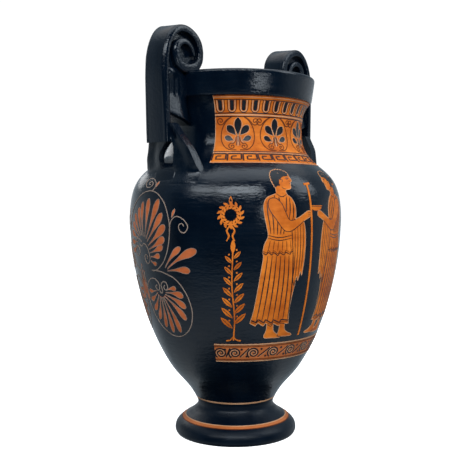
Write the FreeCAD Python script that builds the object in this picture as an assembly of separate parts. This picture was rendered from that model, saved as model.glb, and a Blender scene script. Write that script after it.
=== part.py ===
# A volute krater: a wine-mixing vase of fired clay, thrown and built by hand.
#
# The potter throws the foot, the belly, the shoulder, the neck and the lip apart and lutes them together
# with slip, on flat seams. Each of the two handles is five pieces of clay: a stirrup that stands with two legs on
# the shoulder, a strap that climbs past the neck and rolls into a volute on the lip, a flange along each
# edge of the strap, and a bridge that ties the strap to the neck and carries the volute.
#
# Frame: millimetres, +Z up, origin on the table at the middle of the foot. The handles stand at +X and
# -X, and the painted front faces -Y. Radii are measured from the Z axis.

import FreeCAD, Part
import math
import os

Vector = FreeCAD.Vector

# Foot: a torus that stands on a ring, drawn in to a waist.
foot_height = 27.0
foot_radius = 46.3
foot_top_radius = 30.2
waist_radius = 29.1
rest_ring_width = 9.5
foot_hollow_depth = 9.0
foot_hollow_top_radius = 22.0

# Belly and shoulder: the two thrown halves of the body, closed below by the belly's floor.
belly_height = 123.0
shoulder_height = 56.0
belly_radius = 80.3
belly_wall = 6.0
belly_floor = 8.5

# Neck: a waisted tube that flares into the shoulder and under the lip.
neck_height = 45.0
neck_radius = 50.2
neck_base_radius = 60.6
neck_top_radius = 56.8
neck_wall = 5.2

# Lip: an upright collar that overhangs the neck.
lip_height = 18.0
lip_radius = 60.0
lip_wall = 7.4
lip_rounding = 2.2

# Strap and flanges: a band with thicker edges, rolled at the top.
strap_overhang = 2.5
strap_width = 21.4
flange_width = 3.2
flange_thickness = 5.0
web_setback = 0.5
strap_foot_rise = 12.0
volute_radius = 18.5
volute_rise = 13.5

# Stirrup: an arch with two legs on the shoulder.
stirrup_lap = 13.0
stirrup_toe_drop = 16.0
stirrup_setback = 2.5
stirrup_thickness = 12.9
stirrup_half_width = 27.2
stirrup_gap_half_width = 10.2
stirrup_gap_rise = 16.0
stirrup_crown = 1.0

# Bridge: the lug between the strap and the neck, filled up to the volute.
bridge_width = 16.0
bridge_bottom_rise = 7.0
bridge_top_rise = 1.6

# Outlines, as shares of the radius and height of the piece that they shape.
foot_torus_shares = ((0.961, 0.0), (1.0, 0.167), (0.955, 0.345), (0.853, 0.474))
foot_neck_shares = ((0.853, 0.474), (0.706, 0.65))
waist_height_share = 0.815
body_outline_shares = (
    (0.453, 0.054),
    (0.569, 0.114),
    (0.682, 0.1905),
    (0.7895, 0.291),
    (0.898, 0.438),
    (0.964, 0.573),
    (1.0, 0.732),
    (0.990, 0.8436),
    (0.954, 0.902),
    (0.910, 0.936),
    (0.838, 0.969),
)
inner_wall_start_share = 0.114
belly_hollow_shares = ((0.0, 0.0), (0.26, 0.012))
neck_outline_shares = (
    (1.085, 0.153),
    (1.024, 0.305),
    (1.0, 0.51),
    (1.008, 0.67),
    (1.032, 0.82),
    (1.076, 0.924),
)

# The coil inside the volute, as shares of the volute's radius, from its middle outwards and upwards.
coil_outer_shares = (
    (-1.0, 0.0),
    (-0.957, -0.351),
    (-0.741, -0.665),
    (-0.395, -0.822),
    (-0.043, -0.827),
    (0.308, -0.643),
    (0.503, -0.341),
    (0.519, -0.054),
    (0.357, 0.211),
    (0.070, 0.335),
    (-0.211, 0.276),
    (-0.335, 0.162),
)
coil_inner_shares = (
    (-0.189, 0.0),
    (0.054, 0.076),
    (0.205, -0.016),
    (0.254, -0.162),
    (0.211, -0.319),
    (0.092, -0.470),
    (-0.114, -0.557),
    (-0.308, -0.492),
    (-0.427, -0.297),
    (-0.449, -0.081),
    (-0.495, 0.200),
)
roll_inner_end_angle = 138.0

# The arch from outside and in section, as shares of its height, its half width and its radii.
arch_side_shares = ((0.0, 0.393), (0.244, 0.581), (0.463, 0.746), (0.695, 0.904), (1.0, 1.0))
arch_outer_shares = ((0.29, 1.0), (0.40, 0.955), (0.58, 0.932), (0.78, 0.929), (1.0, 0.958))

# Places that follow from the sizes above.
belly_bottom = foot_height
body_height = belly_height + shoulder_height
shoulder_bottom = belly_bottom + belly_height
neck_bottom = belly_bottom + body_height
lip_bottom = neck_bottom + neck_height
lip_top = lip_bottom + lip_height
strap_reach = belly_radius + strap_overhang
strap_inside = strap_reach - flange_thickness
strap_foot_height = neck_bottom + strap_foot_rise
volute_middle_reach = strap_reach - volute_radius
volute_middle_height = lip_top + volute_rise
stirrup_top_height = strap_foot_height + stirrup_lap
stirrup_toe_height = neck_bottom - stirrup_toe_drop
stirrup_gap_height = strap_foot_height - stirrup_crown
stirrup_gap_spring_height = stirrup_gap_height - stirrup_gap_rise
bridge_bottom_height = stirrup_top_height
stirrup_outer_radius = strap_reach - stirrup_setback
stirrup_inner_radius = stirrup_outer_radius - stirrup_thickness
stirrup_height = stirrup_top_height - stirrup_toe_height
cut_overrun = 10.0

AXIS = Vector(0, 0, 1)
ORIGIN = Vector(0, 0, 0)


def profile_point(radius, height):
    """A point of an outline, in the plane of the handles."""
    return Vector(radius, 0, height)


def spline(points, start_direction=None):
    """A smooth edge through the given points, which may be told how to set out."""
    curve = Part.BSplineCurve()
    if start_direction is None:
        curve.interpolate(points)
    else:
        curve.interpolate(Points=points, Tangents=[start_direction] + [Vector()] * (len(points) - 1),
                          TangentFlags=[True] + [False] * (len(points) - 1))
    return curve.toShape()


def line(start, end):
    """A straight edge."""
    return Part.LineSegment(start, end).toShape()


def turned(edges):
    """A solid of revolution about the vase's axis from a closed outline."""
    face = Part.Face(Part.Wire(edges))
    return face.revolve(ORIGIN, AXIS, 360)


def scaled_points(shares, radius, height, bottom):
    """Outline points from shares of a radius and a height, counted up from the piece's bottom."""
    return [profile_point(r * radius, bottom + h * height) for r, h in shares]


def inset_points(edge, points, wall):
    """The same points moved inwards, square to the outer edge, by the thickness of the wall."""
    inner = []
    for point in points:
        tangent = edge.Curve.tangent(edge.Curve.parameter(point))[0]
        inward = Vector(-tangent.z, 0, tangent.x)
        inward.normalize()
        inner.append(point + inward * wall)
    return inner


def make_foot():
    """The foot, from the table to the flat seam under the belly."""
    torus = scaled_points(foot_torus_shares, foot_radius, foot_height, 0)
    sweep = scaled_points(foot_neck_shares, foot_radius, foot_height, 0)
    waist = profile_point(waist_radius, waist_height_share * foot_height)
    top_outer = profile_point(foot_top_radius, foot_height)
    top_middle = profile_point(0, foot_height)
    hollow_top = profile_point(foot_hollow_top_radius, foot_hollow_depth)
    hollow_middle = profile_point(0, foot_hollow_depth)
    ring_inner = profile_point(torus[0].x - rest_ring_width, 0)
    edges = [
        spline(torus),
        spline(sweep + [waist, top_outer]),
        line(top_outer, top_middle),
        line(top_middle, hollow_middle),
        line(hollow_middle, hollow_top),
        line(hollow_top, ring_inner),
        line(ring_inner, torus[0]),
    ]
    return turned(edges)


def body_outer_points():
    """The body's outline from its seam on the foot to its seam under the neck."""
    middle = scaled_points(body_outline_shares, belly_radius, body_height, belly_bottom)
    bottom = profile_point(foot_top_radius, belly_bottom)
    top = profile_point(neck_base_radius, neck_bottom)
    return [bottom] + middle + [top]


def make_body():
    """The belly and the shoulder: a shell with a floor, open at the top, in two at its seam."""
    points = body_outer_points()
    outer = spline(points)
    wall_start = belly_bottom + inner_wall_start_share * body_height
    wall_points = [p for p in points if p.z >= wall_start]
    inner = inset_points(outer, wall_points, belly_wall)
    inner[-1] = profile_point(inner[-1].x, neck_bottom)
    floor = belly_bottom + belly_floor
    hollow = scaled_points(belly_hollow_shares, belly_radius, body_height, floor)
    edges = [
        outer,
        line(points[-1], inner[-1]),
        spline(hollow + inner),
        line(hollow[0], profile_point(0, belly_bottom)),
        line(profile_point(0, belly_bottom), points[0]),
    ]
    body = turned(edges)
    below_seam = Part.makeCylinder(belly_radius + cut_overrun, shoulder_bottom)
    return body.common(below_seam), body.cut(below_seam)


def neck_outer_points():
    """The neck's outline from its seam on the belly to its seam under the lip."""
    middle = scaled_points(neck_outline_shares, neck_radius, neck_height, neck_bottom)
    bottom = profile_point(neck_base_radius, neck_bottom)
    top = profile_point(neck_top_radius, lip_bottom)
    return [bottom] + middle + [top]


def make_neck():
    """The neck, a tube with a waist."""
    points = neck_outer_points()
    outer = spline(points)
    inner = inset_points(outer, points, neck_wall)
    inner[0] = profile_point(inner[0].x, neck_bottom)
    inner[-1] = profile_point(inner[-1].x, lip_bottom)
    edges = [outer, line(points[-1], inner[-1]), spline(inner), line(inner[0], points[0])]
    return turned(edges)


def make_lip():
    """The lip, a collar with its upper edges rounded."""
    outer = Part.makeCylinder(lip_radius, lip_height, profile_point(0, lip_bottom), AXIS)
    bore = Part.makeCylinder(lip_radius - lip_wall, lip_height, profile_point(0, lip_bottom), AXIS)
    ring = outer.cut(bore)
    top_edges = [e for e in ring.Edges if e.BoundBox.ZMin > lip_top - lip_rounding]
    return ring.makeFillet(lip_rounding, top_edges)


def filled(points, bottom, top):
    """The space inside an outline, used to trim what stands on that outline."""
    edges = [
        spline(points),
        line(points[-1], profile_point(0, top)),
        line(profile_point(0, top), profile_point(0, bottom)),
        line(profile_point(0, bottom), points[0]),
    ]
    return turned(edges)


def roll_arc(radius, end_angle):
    """An arc about the middle of the volute, from the strap's side over the top, in degrees."""
    middle = profile_point(volute_middle_reach, volute_middle_height)
    start, half, end = [
        middle + Vector(radius * math.cos(math.radians(a)), 0, radius * math.sin(math.radians(a)))
        for a in (0, end_angle / 2, end_angle)
    ]
    return Part.Arc(start, half, end).toShape()


def coil_points(shares):
    """Points of the coil from their shares of the volute's radius."""
    return [
        profile_point(volute_middle_reach + u * volute_radius, volute_middle_height + w * volute_radius)
        for u, w in shares
    ]


def offset_spline(points, distance):
    """A smooth edge that runs beside the given points, on the left of their course."""
    edge = spline(points)
    return inset_points(edge, points, distance)


def band_edges(setback):
    """The outline of the rolled band, set back by that much on both faces.

    The band climbs from the strap's foot, goes over the volute and under it, and ends in the coil.
    """
    outer_roll = roll_arc(volute_radius - setback, 180)
    inner_roll = roll_arc(volute_radius - flange_thickness + setback, roll_inner_end_angle)
    outer_coil = offset_spline(coil_points(coil_outer_shares), setback)
    outer_coil[0] = outer_roll.lastVertex().Point
    inner_coil = offset_spline(coil_points(coil_inner_shares), setback)
    inner_coil.append(inner_roll.lastVertex().Point)
    foot_outer = profile_point(strap_reach - setback, strap_foot_height)
    foot_inner = profile_point(strap_inside + setback, strap_foot_height)
    return [
        line(foot_outer, outer_roll.firstVertex().Point),
        outer_roll,
        spline(outer_coil, Vector(0, 0, -1)),
        line(outer_coil[-1], inner_coil[0]),
        spline(inner_coil),
        inner_roll,
        line(inner_roll.firstVertex().Point, foot_inner),
        line(foot_inner, foot_outer),
    ]


def slab(edges, width, start):
    """A closed outline in the plane of the handles, given a width along Y."""
    face = Part.Face(Part.Wire(edges))
    face.translate(Vector(0, start, 0))
    return face.extrude(Vector(0, width, 0))


def make_strap():
    """The web of the strap, between the two flanges."""
    width = strap_width - 2 * flange_width
    return slab(band_edges(web_setback), width, -width / 2)


def make_flange(side):
    """The flange along one edge of the strap: side is -1 at the front and 1 at the rear."""
    start = -strap_width / 2 if side < 0 else strap_width / 2 - flange_width
    return slab(band_edges(0), flange_width, start)


def arch_front_view():
    """The arch as seen from outside: its outline and the gap between its legs, as one face."""
    top = stirrup_top_height
    right = [Vector(0, w * stirrup_half_width, top - h * stirrup_height) for h, w in arch_side_shares]
    left = [Vector(0, -p.y, p.z) for p in reversed(right)]
    sides = [spline(right), line(right[-1], left[0]), spline(left), line(left[-1], right[0])]
    gap = stirrup_gap_half_width
    spring = stirrup_gap_spring_height
    low = stirrup_toe_height - cut_overrun
    gap_sides = [
        line(Vector(0, -gap, low), Vector(0, -gap, spring)),
        spline(arch_gap_points(), AXIS),
        line(Vector(0, gap, spring), Vector(0, gap, low)),
        line(Vector(0, gap, low), Vector(0, -gap, low)),
    ]
    return Part.Face(Part.Wire(sides)).cut(Part.Face(Part.Wire(gap_sides)))


def arch_gap_points():
    """Points over the gap between the legs, on half an ellipse."""
    gap = stirrup_gap_half_width
    spring = stirrup_gap_spring_height
    rise = stirrup_gap_height - spring
    angles = [math.radians(a) for a in range(180, -1, -30)]
    return [Vector(0, gap * math.cos(a), spring + rise * math.sin(a)) for a in angles]


def arch_ring():
    """The ring of clay that the arch is cut from, in section thinner towards the shoulder."""
    top = stirrup_top_height
    outer = [profile_point(r * stirrup_outer_radius, top - h * stirrup_height) for h, r in arch_outer_shares]
    edges = [
        line(profile_point(stirrup_outer_radius, top), outer[0]),
        spline(outer, -AXIS),
        line(outer[-1], profile_point(stirrup_inner_radius, stirrup_toe_height)),
        line(profile_point(stirrup_inner_radius, stirrup_toe_height), profile_point(stirrup_inner_radius, top)),
        line(profile_point(stirrup_inner_radius, top), profile_point(stirrup_outer_radius, top)),
    ]
    return turned(edges)


def make_stirrup(vessel_space, neighbours):
    """The stirrup, trimmed to the shoulder that it stands on and to the strap that it carries."""
    arch = arch_front_view().extrude(Vector(strap_reach + cut_overrun, 0, 0))
    stirrup = arch.common(arch_ring())
    for space in vessel_space + neighbours:
        stirrup = stirrup.cut(space)
    return stirrup


def make_bridge(vessel_space, neighbours):
    """The bridge, trimmed to the neck and lip inside it and to the band outside it."""
    top = lip_top + bridge_top_rise
    inner_reach = lip_radius - lip_rounding
    corners = [
        profile_point(0, bridge_bottom_height),
        profile_point(neck_radius, bridge_bottom_height),
        profile_point(strap_reach, bridge_bottom_height + bridge_bottom_rise),
        profile_point(strap_reach, top),
        profile_point(inner_reach, top),
        profile_point(inner_reach, lip_top - lip_rounding),
        profile_point(0, lip_top - lip_rounding),
    ]
    edges = [line(a, b) for a, b in zip(corners, corners[1:] + corners[:1])]
    bridge = slab(edges, bridge_width, -bridge_width / 2)
    for space in vessel_space + neighbours:
        bridge = bridge.cut(space)
    return bridge


def biggest_solid(shape):
    """The largest solid of a trimmed shape."""
    return max(shape.Solids, key=lambda solid: solid.Volume)


def mirrored(shape):
    """The same piece for the handle on the other side."""
    return shape.mirror(ORIGIN, Vector(1, 0, 0))


def make_handle_pieces():
    """The pieces of the handle at +X, by name."""
    body_space = filled(body_outer_points(), belly_bottom, neck_bottom)
    neck_space = filled(neck_outer_points(), neck_bottom, lip_bottom)
    lip_bore = Part.makeCylinder(lip_radius - lip_wall, lip_height, profile_point(0, lip_bottom), AXIS)
    lip_space = make_lip().fuse(lip_bore)
    strap = make_strap()
    front_flange = make_flange(-1)
    rear_flange = make_flange(1)
    for_strap = [strap, front_flange, rear_flange]
    strap, front_flange, rear_flange = [biggest_solid(s.cut(lip_space)) for s in for_strap]
    band = [strap, front_flange, rear_flange]
    bridge = biggest_solid(make_bridge([neck_space, lip_space], band))
    stirrup = biggest_solid(make_stirrup([body_space, neck_space], band + [bridge]))
    return {
        "strap": strap,
        "front_flange": front_flange,
        "rear_flange": rear_flange,
        "stirrup": stirrup,
        "bridge": bridge,
    }


def main():
    """Builds every piece and writes one STEP file for each."""
    belly, shoulder = make_body()
    pieces = {
        "foot": make_foot(),
        "belly": belly,
        "shoulder": shoulder,
        "neck": make_neck(),
        "lip": make_lip(),
    }
    for name, shape in make_handle_pieces().items():
        pieces["right_" + name] = shape
        pieces["left_" + name] = mirrored(shape)
    os.makedirs("parts", exist_ok=True)
    for name, shape in pieces.items():
        shape.exportStep(os.path.join("parts", name + ".step"))
        box = shape.BoundBox
        print(
            name,
            "valid" if shape.isValid() else "NOT VALID",
            "solids", len(shape.Solids),
            "volume %.0f" % shape.Volume,
            "x %.1f..%.1f y %.1f..%.1f z %.1f..%.1f"
            % (box.XMin, box.XMax, box.YMin, box.YMax, box.ZMin, box.ZMax),
        )


main()
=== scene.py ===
import bisect
import logging
import math
from dataclasses import dataclass
from enum import Enum
from typing import Iterable, Sequence

import bmesh
import bpy
from mathutils import Matrix, Vector


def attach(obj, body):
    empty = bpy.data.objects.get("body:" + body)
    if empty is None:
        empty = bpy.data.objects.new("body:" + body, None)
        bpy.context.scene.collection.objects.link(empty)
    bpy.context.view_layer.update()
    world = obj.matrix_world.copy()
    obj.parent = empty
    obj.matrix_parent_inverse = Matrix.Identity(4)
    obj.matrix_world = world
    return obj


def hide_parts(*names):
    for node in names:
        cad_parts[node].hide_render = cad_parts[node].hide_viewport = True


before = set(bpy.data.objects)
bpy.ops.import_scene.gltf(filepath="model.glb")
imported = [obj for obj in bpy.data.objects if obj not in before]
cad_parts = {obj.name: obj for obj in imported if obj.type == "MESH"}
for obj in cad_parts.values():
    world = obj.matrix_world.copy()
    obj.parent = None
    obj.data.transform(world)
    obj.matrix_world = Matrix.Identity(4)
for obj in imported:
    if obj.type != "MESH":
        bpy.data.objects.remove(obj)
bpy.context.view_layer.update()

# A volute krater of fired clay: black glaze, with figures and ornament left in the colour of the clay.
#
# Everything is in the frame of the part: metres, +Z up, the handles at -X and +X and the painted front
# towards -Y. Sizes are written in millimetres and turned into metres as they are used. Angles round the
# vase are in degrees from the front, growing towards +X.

MM = 0.001
FOOT_TOP = 27.0
LIP_SEAM = 251.0
GROUND_LINE = 79.3
LOG = logging.getLogger("krater")
Point = tuple[float, float]
Line = tuple[Point, ...]
Leaf = tuple[Point, Point, float]
Stretch = tuple[float, float, float]
Colour = tuple[float, float, float]
Faces = list[tuple[int, ...]]
Socket = bpy.types.NodeSocket


class Side(Enum):
    """The side of the vase that a handle stands on, as the sign of its X."""

    LEFT = -1
    RIGHT = 1

    @property
    def word(self) -> str:
        """The name of the side, as it stands in the names of the pieces."""
        return self.name.lower()


class Tone(Enum):
    """The colours that the painter uses."""

    CLAY = "clay"
    RUST = "rust"
    SIENNA = "sienna"
    GLAZE = "glaze"
    TAN = "tan"
    ASH = "ash"
    BROWN = "brown"


class Hair(Enum):
    """How a painted figure wears its hair."""

    CROPPED = "cropped"
    KNOT = "knot"


class Gift(Enum):
    """What a painted figure holds out."""

    STAFF = "staff"
    WREATH = "wreath"
    BOWL = "bowl"


class Grain(Enum):
    """The way that the brush went over the glaze."""

    AROUND = "around"
    UPRIGHT = "upright"


def part_of(distance: float, width: float) -> float:
    """How far a distance has come through a width, from 0 to 1."""
    return min(max(distance / width, 0.0), 1.0)


def bell(*offsets: float) -> float:
    """A soft bump, which is 1 where every offset is 0 and close to 0 from 2 on."""
    return math.exp(-sum(offset**2 for offset in offsets))


def polar(centre: Point, radius: float, turn: float) -> Point:
    """The point at a distance and an angle, in radians, from a centre."""
    return centre[0] + radius * math.cos(turn), centre[1] + radius * math.sin(turn)


def locate(places: Sequence[float], place: float) -> tuple[int, float]:
    """The number of the step of a rising row that a value lies in, and how far through the step it is."""
    i = min(max(bisect.bisect_right(places, place) - 1, 0), len(places) - 2)
    return i, (place - places[i]) / max(places[i + 1] - places[i], 1e-9)


def smooth_curve(points: Sequence[Point], steps: int = 8, closed: bool = False) -> list[Point]:
    """Runs a smooth curve through points.

    Args:
        points: the points, in order.
        steps: how many points each stretch gets.
        closed: whether the curve comes back to its first point.

    Returns:
        The points of the curve.
    """
    count = len(points)
    curve: list[Point] = []
    for i in range(count if closed else count - 1):
        before = points[(i - 1) % count] if closed or i > 0 else points[i]
        start = points[i]
        end = points[(i + 1) % count]
        after = points[(i + 2) % count] if closed or i + 2 < count else end
        for t in (k / steps for k in range(steps)):
            curve.append(tuple(
                0.5 * (2 * b + (c - a) * t + (2 * a - 5 * b + 4 * c - d) * t * t
                       + (3 * b - a - 3 * c + d) * t**3)
                for a, b, c, d in zip(before, start, end, after)
            ))
    if not closed:
        curve.append(tuple(points[-1]))
    return curve


def spread(points: Sequence[Point], spacing: float) -> list[Point]:
    """Puts points at even steps along a line.

    Args:
        points: the line.
        spacing: the step that is wanted.

    Returns:
        The same line, with its ends kept.
    """
    lengths = [0.0]
    for a, b in zip(points, points[1:]):
        lengths.append(lengths[-1] + math.dist(a, b))
    count = max(int(round(lengths[-1] / spacing)), 1)
    result: list[Point] = []
    for i in range(count + 1):
        k, share = locate(lengths, lengths[-1] * i / count)
        a, b = points[k], points[k + 1]
        result.append((a[0] + (b[0] - a[0]) * share, a[1] + (b[1] - a[1]) * share))
    return result


def evenly(points: Sequence[Point], count: int) -> list[Point]:
    """The same line in a given number of equal steps."""
    return spread(points, sum(math.dist(a, b) for a, b in zip(points, points[1:])) / count)


def beside(points: Sequence[Point], i: int, distance: float) -> Point:
    """Moves one point of a line sideways.

    Args:
        points: the line.
        i: which of its points is moved.
        distance: how far it moves to the right of the line's course.

    Returns:
        The new place of the point.
    """
    a, b = points[max(i - 1, 0)], points[min(i + 1, len(points) - 1)]
    length = max(math.dist(a, b), 1e-9)
    x, y = points[i]
    return x + (b[1] - a[1]) / length * distance, y - (b[0] - a[0]) / length * distance


def add_object(name: str, data: bpy.types.ID) -> bpy.types.Object:
    """The object of a mesh, a lamp or a camera, added to the scene."""
    obj = bpy.data.objects.new(name, data)
    bpy.context.scene.collection.objects.link(obj)
    return obj


class Outline:
    """A smooth outline of a thrown piece: a radius for each height, in millimetres."""

    fine_step = 0.25
    slope_reach = 0.2

    def __init__(self, points: Sequence[Point]) -> None:
        """Fits the outline.

        Args:
            points: (height, radius) pairs, upwards.
        """
        self.heights = [p[0] for p in points]
        self.radii = [p[1] for p in points]
        self.bends = self._bends()
        self.steps = [self.heights[0]]
        while self.steps[-1] < self.heights[-1] - 1e-6:
            self.steps.append(min(self.steps[-1] + self.fine_step, self.heights[-1]))
        self.run = [0.0]
        for a, b in zip(self.steps, self.steps[1:]):
            self.run.append(self.run[-1] + math.hypot(b - a, self.radius(b) - self.radius(a)))

    def _bends(self) -> list[float]:
        """Fits a natural cubic spline through the points.

        Returns:
            Its second derivative at each point.
        """
        n = len(self.heights)
        gaps = [b - a for a, b in zip(self.heights, self.heights[1:])]
        slopes = [(b - a) / gap for a, b, gap in zip(self.radii, self.radii[1:], gaps)]
        diagonal = [1.0] + [2 * (a + b) for a, b in zip(gaps, gaps[1:])] + [1.0]
        right = [0.0] + [6 * (b - a) for a, b in zip(slopes, slopes[1:])] + [0.0]
        lower = [0.0] + gaps[:-1] + [0.0]
        upper = [0.0] + gaps[1:]
        for i in range(1, n):
            factor = lower[i] / diagonal[i - 1]
            diagonal[i] -= factor * upper[i - 1]
            right[i] -= factor * right[i - 1]
        bends = [right[-1] / diagonal[-1]]
        for i in range(n - 2, -1, -1):
            bends.append((right[i] - upper[i] * bends[-1]) / diagonal[i])
        return bends[::-1]

    def radius(self, height: float) -> float:
        """Reads the outline.

        Args:
            height: millimetres above the table.

        Returns:
            The radius there, in millimetres.
        """
        i, b = locate(self.heights, height)
        gap = self.heights[i + 1] - self.heights[i]
        a = (self.heights[i + 1] - height) / gap
        bend = (a**3 - a) * self.bends[i] + (b**3 - b) * self.bends[i + 1]
        return a * self.radii[i] + b * self.radii[i + 1] + bend * gap * gap / 6

    def normal(self, height: float) -> Point:
        """Finds which way the face looks.

        Args:
            height: millimetres above the table.

        Returns:
            The outward direction there, as (radial, upward) parts.
        """
        low = max(height - self.slope_reach, self.heights[0])
        high = min(height + self.slope_reach, self.heights[-1])
        slope = (self.radius(high) - self.radius(low)) / (high - low)
        length = math.hypot(1.0, slope)
        return 1.0 / length, -slope / length

    def off(self, height: float, lift: float) -> Point:
        """A point off the face, as (radius, height), at a height and a distance from the face."""
        outward, upward = self.normal(height)
        return self.radius(height) + lift * outward, height + lift * upward

    def run_at(self, height: float) -> float:
        """How far along the outline a height is."""
        i, share = locate(self.steps, height)
        return self.run[i] + (self.run[i + 1] - self.run[i]) * share

    def height_at(self, run: float) -> float:
        """The height at a distance along the outline."""
        i, share = locate(self.run, run)
        return self.steps[i] + (self.steps[i + 1] - self.steps[i]) * share

    def place(self, angle: float, height: float, lift: float = 0.0) -> Vector:
        """Finds a point on the outer face or off it.

        Args:
            angle: degrees round the vase from the front, towards +X.
            height: millimetres above the table.
            lift: millimetres off the face.

        Returns:
            The point, in metres.
        """
        radius, z = self.off(height, lift)
        a = math.radians(angle)
        return Vector((radius * math.sin(a), -radius * math.cos(a), z)) * MM


WALL = Outline(
    (
        (27.0, 30.2), (36.7, 36.4), (47.4, 45.7), (61.1, 54.8), (79.1, 63.4), (105.4, 72.1), (129.6, 77.4),
        (158.0, 80.3), (178.0, 79.5), (188.5, 76.6), (194.5, 73.1), (200.5, 67.3), (206.0, 60.6),
        (212.9, 54.47), (219.7, 51.4), (229.0, 50.2), (236.2, 50.6), (242.9, 51.8), (247.6, 54.0),
        (251.0, 56.8),
    )
)
FOOT_SIDE = Outline(
    (
        (0.0, 45.2), (1.2, 46.0), (4.5, 46.5), (9.3, 44.2), (12.8, 39.5), (17.5, 32.7), (22.0, 29.1),
        (27.0, 30.2),
    )
)


class Nodes:
    """A tree of shader nodes, and the ways to add to it."""

    def __init__(self, tree: bpy.types.NodeTree) -> None:
        """Takes the tree that is added to."""
        self.tree = tree

    def fill(self, node: bpy.types.Node, values: dict[str, object]) -> bpy.types.Node:
        """Sets or links properties and inputs of a node.

        Args:
            node: the node.
            values: a value or a socket for each property or input, named with underscores for spaces.

        Returns:
            The node.
        """
        for key, value in values.items():
            name = key.replace("_", " ")
            if isinstance(value, Socket):
                self.tree.links.new(value, node.inputs[name])
            elif hasattr(node, key):
                setattr(node, key, value)
            else:
                node.inputs[name].default_value = value
        return node

    def node(self, kind: str, **values: object) -> bpy.types.Node:
        """Adds a node of a type, with its properties and inputs."""
        return self.fill(self.tree.nodes.new(kind), values)

    def maths(self, operation: str, *parts: object) -> Socket:
        """Adds a sum or another operation.

        Args:
            operation: the operation's name.
            parts: sockets or numbers.

        Returns:
            The result.
        """
        node = self.node("ShaderNodeMath", operation=operation)
        for slot, part in zip(node.inputs, parts):
            if isinstance(part, Socket):
                self.tree.links.new(part, slot)
            else:
                slot.default_value = part
        return node.outputs[0]


class Finish(Nodes):
    """A material built from shader nodes."""

    def __init__(self, name: str) -> None:
        """Starts an empty material.

        Args:
            name: its name.
        """
        self.material = bpy.data.materials.new(name)
        self.material.use_nodes = True
        super().__init__(self.material.node_tree)
        self.shader = self.tree.nodes["Principled BSDF"]

    def shade(self, **values: object) -> None:
        """Sets or links the shader's own inputs."""
        self.fill(self.shader, values)

    def around(self, along: float, across: float) -> Socket:
        """Makes coordinates that run round the vase without a seam.

        Args:
            along: how many features there are to one radius of travel round the vase.
            across: how many features there are to a metre of height.

        Returns:
            The coordinates.
        """
        place = self.node("ShaderNodeTexCoord").outputs["Object"]
        x, y, z = self.node("ShaderNodeSeparateXYZ", Vector=place).outputs
        square = self.maths("ADD", self.maths("MULTIPLY", x, x), self.maths("MULTIPLY", y, y))
        safe = self.maths("MAXIMUM", self.maths("SQRT", square), 0.001)
        join = self.node("ShaderNodeCombineXYZ")
        for part, slot in zip((x, y), join.inputs):
            self.tree.links.new(self.maths("MULTIPLY", self.maths("DIVIDE", part, safe), along), slot)
        self.tree.links.new(self.maths("MULTIPLY", z, across), join.inputs["Z"])
        return join.outputs[0]

    def stretched(self, *scale: float) -> Socket:
        """Object coordinates with their own scale on each axis."""
        place = self.node("ShaderNodeTexCoord").outputs["Object"]
        return self.node("ShaderNodeMapping", Scale=scale, Vector=place).outputs[0]

    def noise(self, vector: Socket, detail: float) -> Socket:
        """Soft noise with a number of finer layers."""
        node = self.node("ShaderNodeTexNoise", Scale=1.0, Detail=detail, Roughness=0.55, Vector=vector)
        return node.outputs["Fac"]

    def ramp(self, value: Socket, low: float, high: float, start: float = 0.3, end: float = 0.7) -> Socket:
        """A value brought from its range, start to end, to another, low to high, and clamped."""
        limits = {"From_Min": start, "From_Max": end, "To_Min": low, "To_Max": high}
        return self.node("ShaderNodeMapRange", **limits, Value=value).outputs[0]

    def tint(self, value: Socket, dark: Colour, light: Colour) -> None:
        """Colours the shader from dark, where a value is 0, to light, where it is 1."""
        mix = self.node("ShaderNodeMix", data_type="RGBA", A=(*dark, 1.0), B=(*light, 1.0), Factor=value)
        self.shade(Base_Color=mix.outputs["Result"])

    def bump(self, height: Socket, distance: float, strength: float, **below: Socket) -> dict[str, Socket]:
        """Raises the surface by a value.

        Args:
            height: the value.
            distance: the height of a full step, in metres.
            strength: how much of it shows.
            below: the Normal that it is laid over.

        Returns:
            The new Normal, by that name.
        """
        node = self.node("ShaderNodeBump", Strength=strength, Distance=distance, Height=height, **below)
        self.shade(Normal=node.outputs[0])
        return {"Normal": node.outputs[0]}

    def dress(self, obj: bpy.types.Object) -> None:
        """Puts the material on an object."""
        obj.data.materials.clear()
        obj.data.materials.append(self.material)


@dataclass(frozen=True)
class BlackGlaze:
    """Satin black slip with brush streaks."""

    grain: Grain = Grain.AROUND
    dark: Colour = (0.0005, 0.0030, 0.0084)
    light: Colour = (0.0013, 0.0058, 0.0140)
    gloss: float = 0.17
    shine: float = 0.50
    label: str = ""

    def make(self) -> Finish:
        """Builds the material.

        Returns:
            The finish.
        """
        finish = Finish("black_glaze_" + (self.label or self.grain.value))
        if self.grain is Grain.AROUND:
            fine = finish.noise(finish.around(3.0, 560.0), 4.0)
            broad = finish.noise(finish.around(3.0, 34.0), 3.0)
            ripple = finish.noise(finish.around(5.0, 330.0), 3.0)
        else:
            fine = finish.noise(finish.stretched(760.0, 760.0, 30.0), 4.0)
            broad = finish.noise(finish.stretched(60.0, 60.0, 18.0), 3.0)
            ripple = finish.noise(finish.stretched(150.0, 150.0, 90.0), 3.0)
        finish.tint(finish.ramp(broad, 0.0, 1.0), self.dark, self.light)
        streaks = finish.ramp(fine, self.gloss - 0.07, self.gloss + 0.08)
        rough = finish.maths("ADD", streaks, finish.ramp(broad, -0.05, 0.06))
        finish.shade(Roughness=rough, IOR=1.5, Specular_IOR_Level=self.shine)
        peel = finish.noise(finish.stretched(420.0, 420.0, 700.0), 2.0)
        under: dict[str, Socket] = {}
        for layer, distance, strength in ((broad, 0.00016, 0.5), (ripple, 0.00022, 0.8), (peel, 0.00020, 0.7),
                                          (fine, 0.00008, 0.7)):
            under = finish.bump(layer, distance, strength, **under)
        return finish


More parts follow.
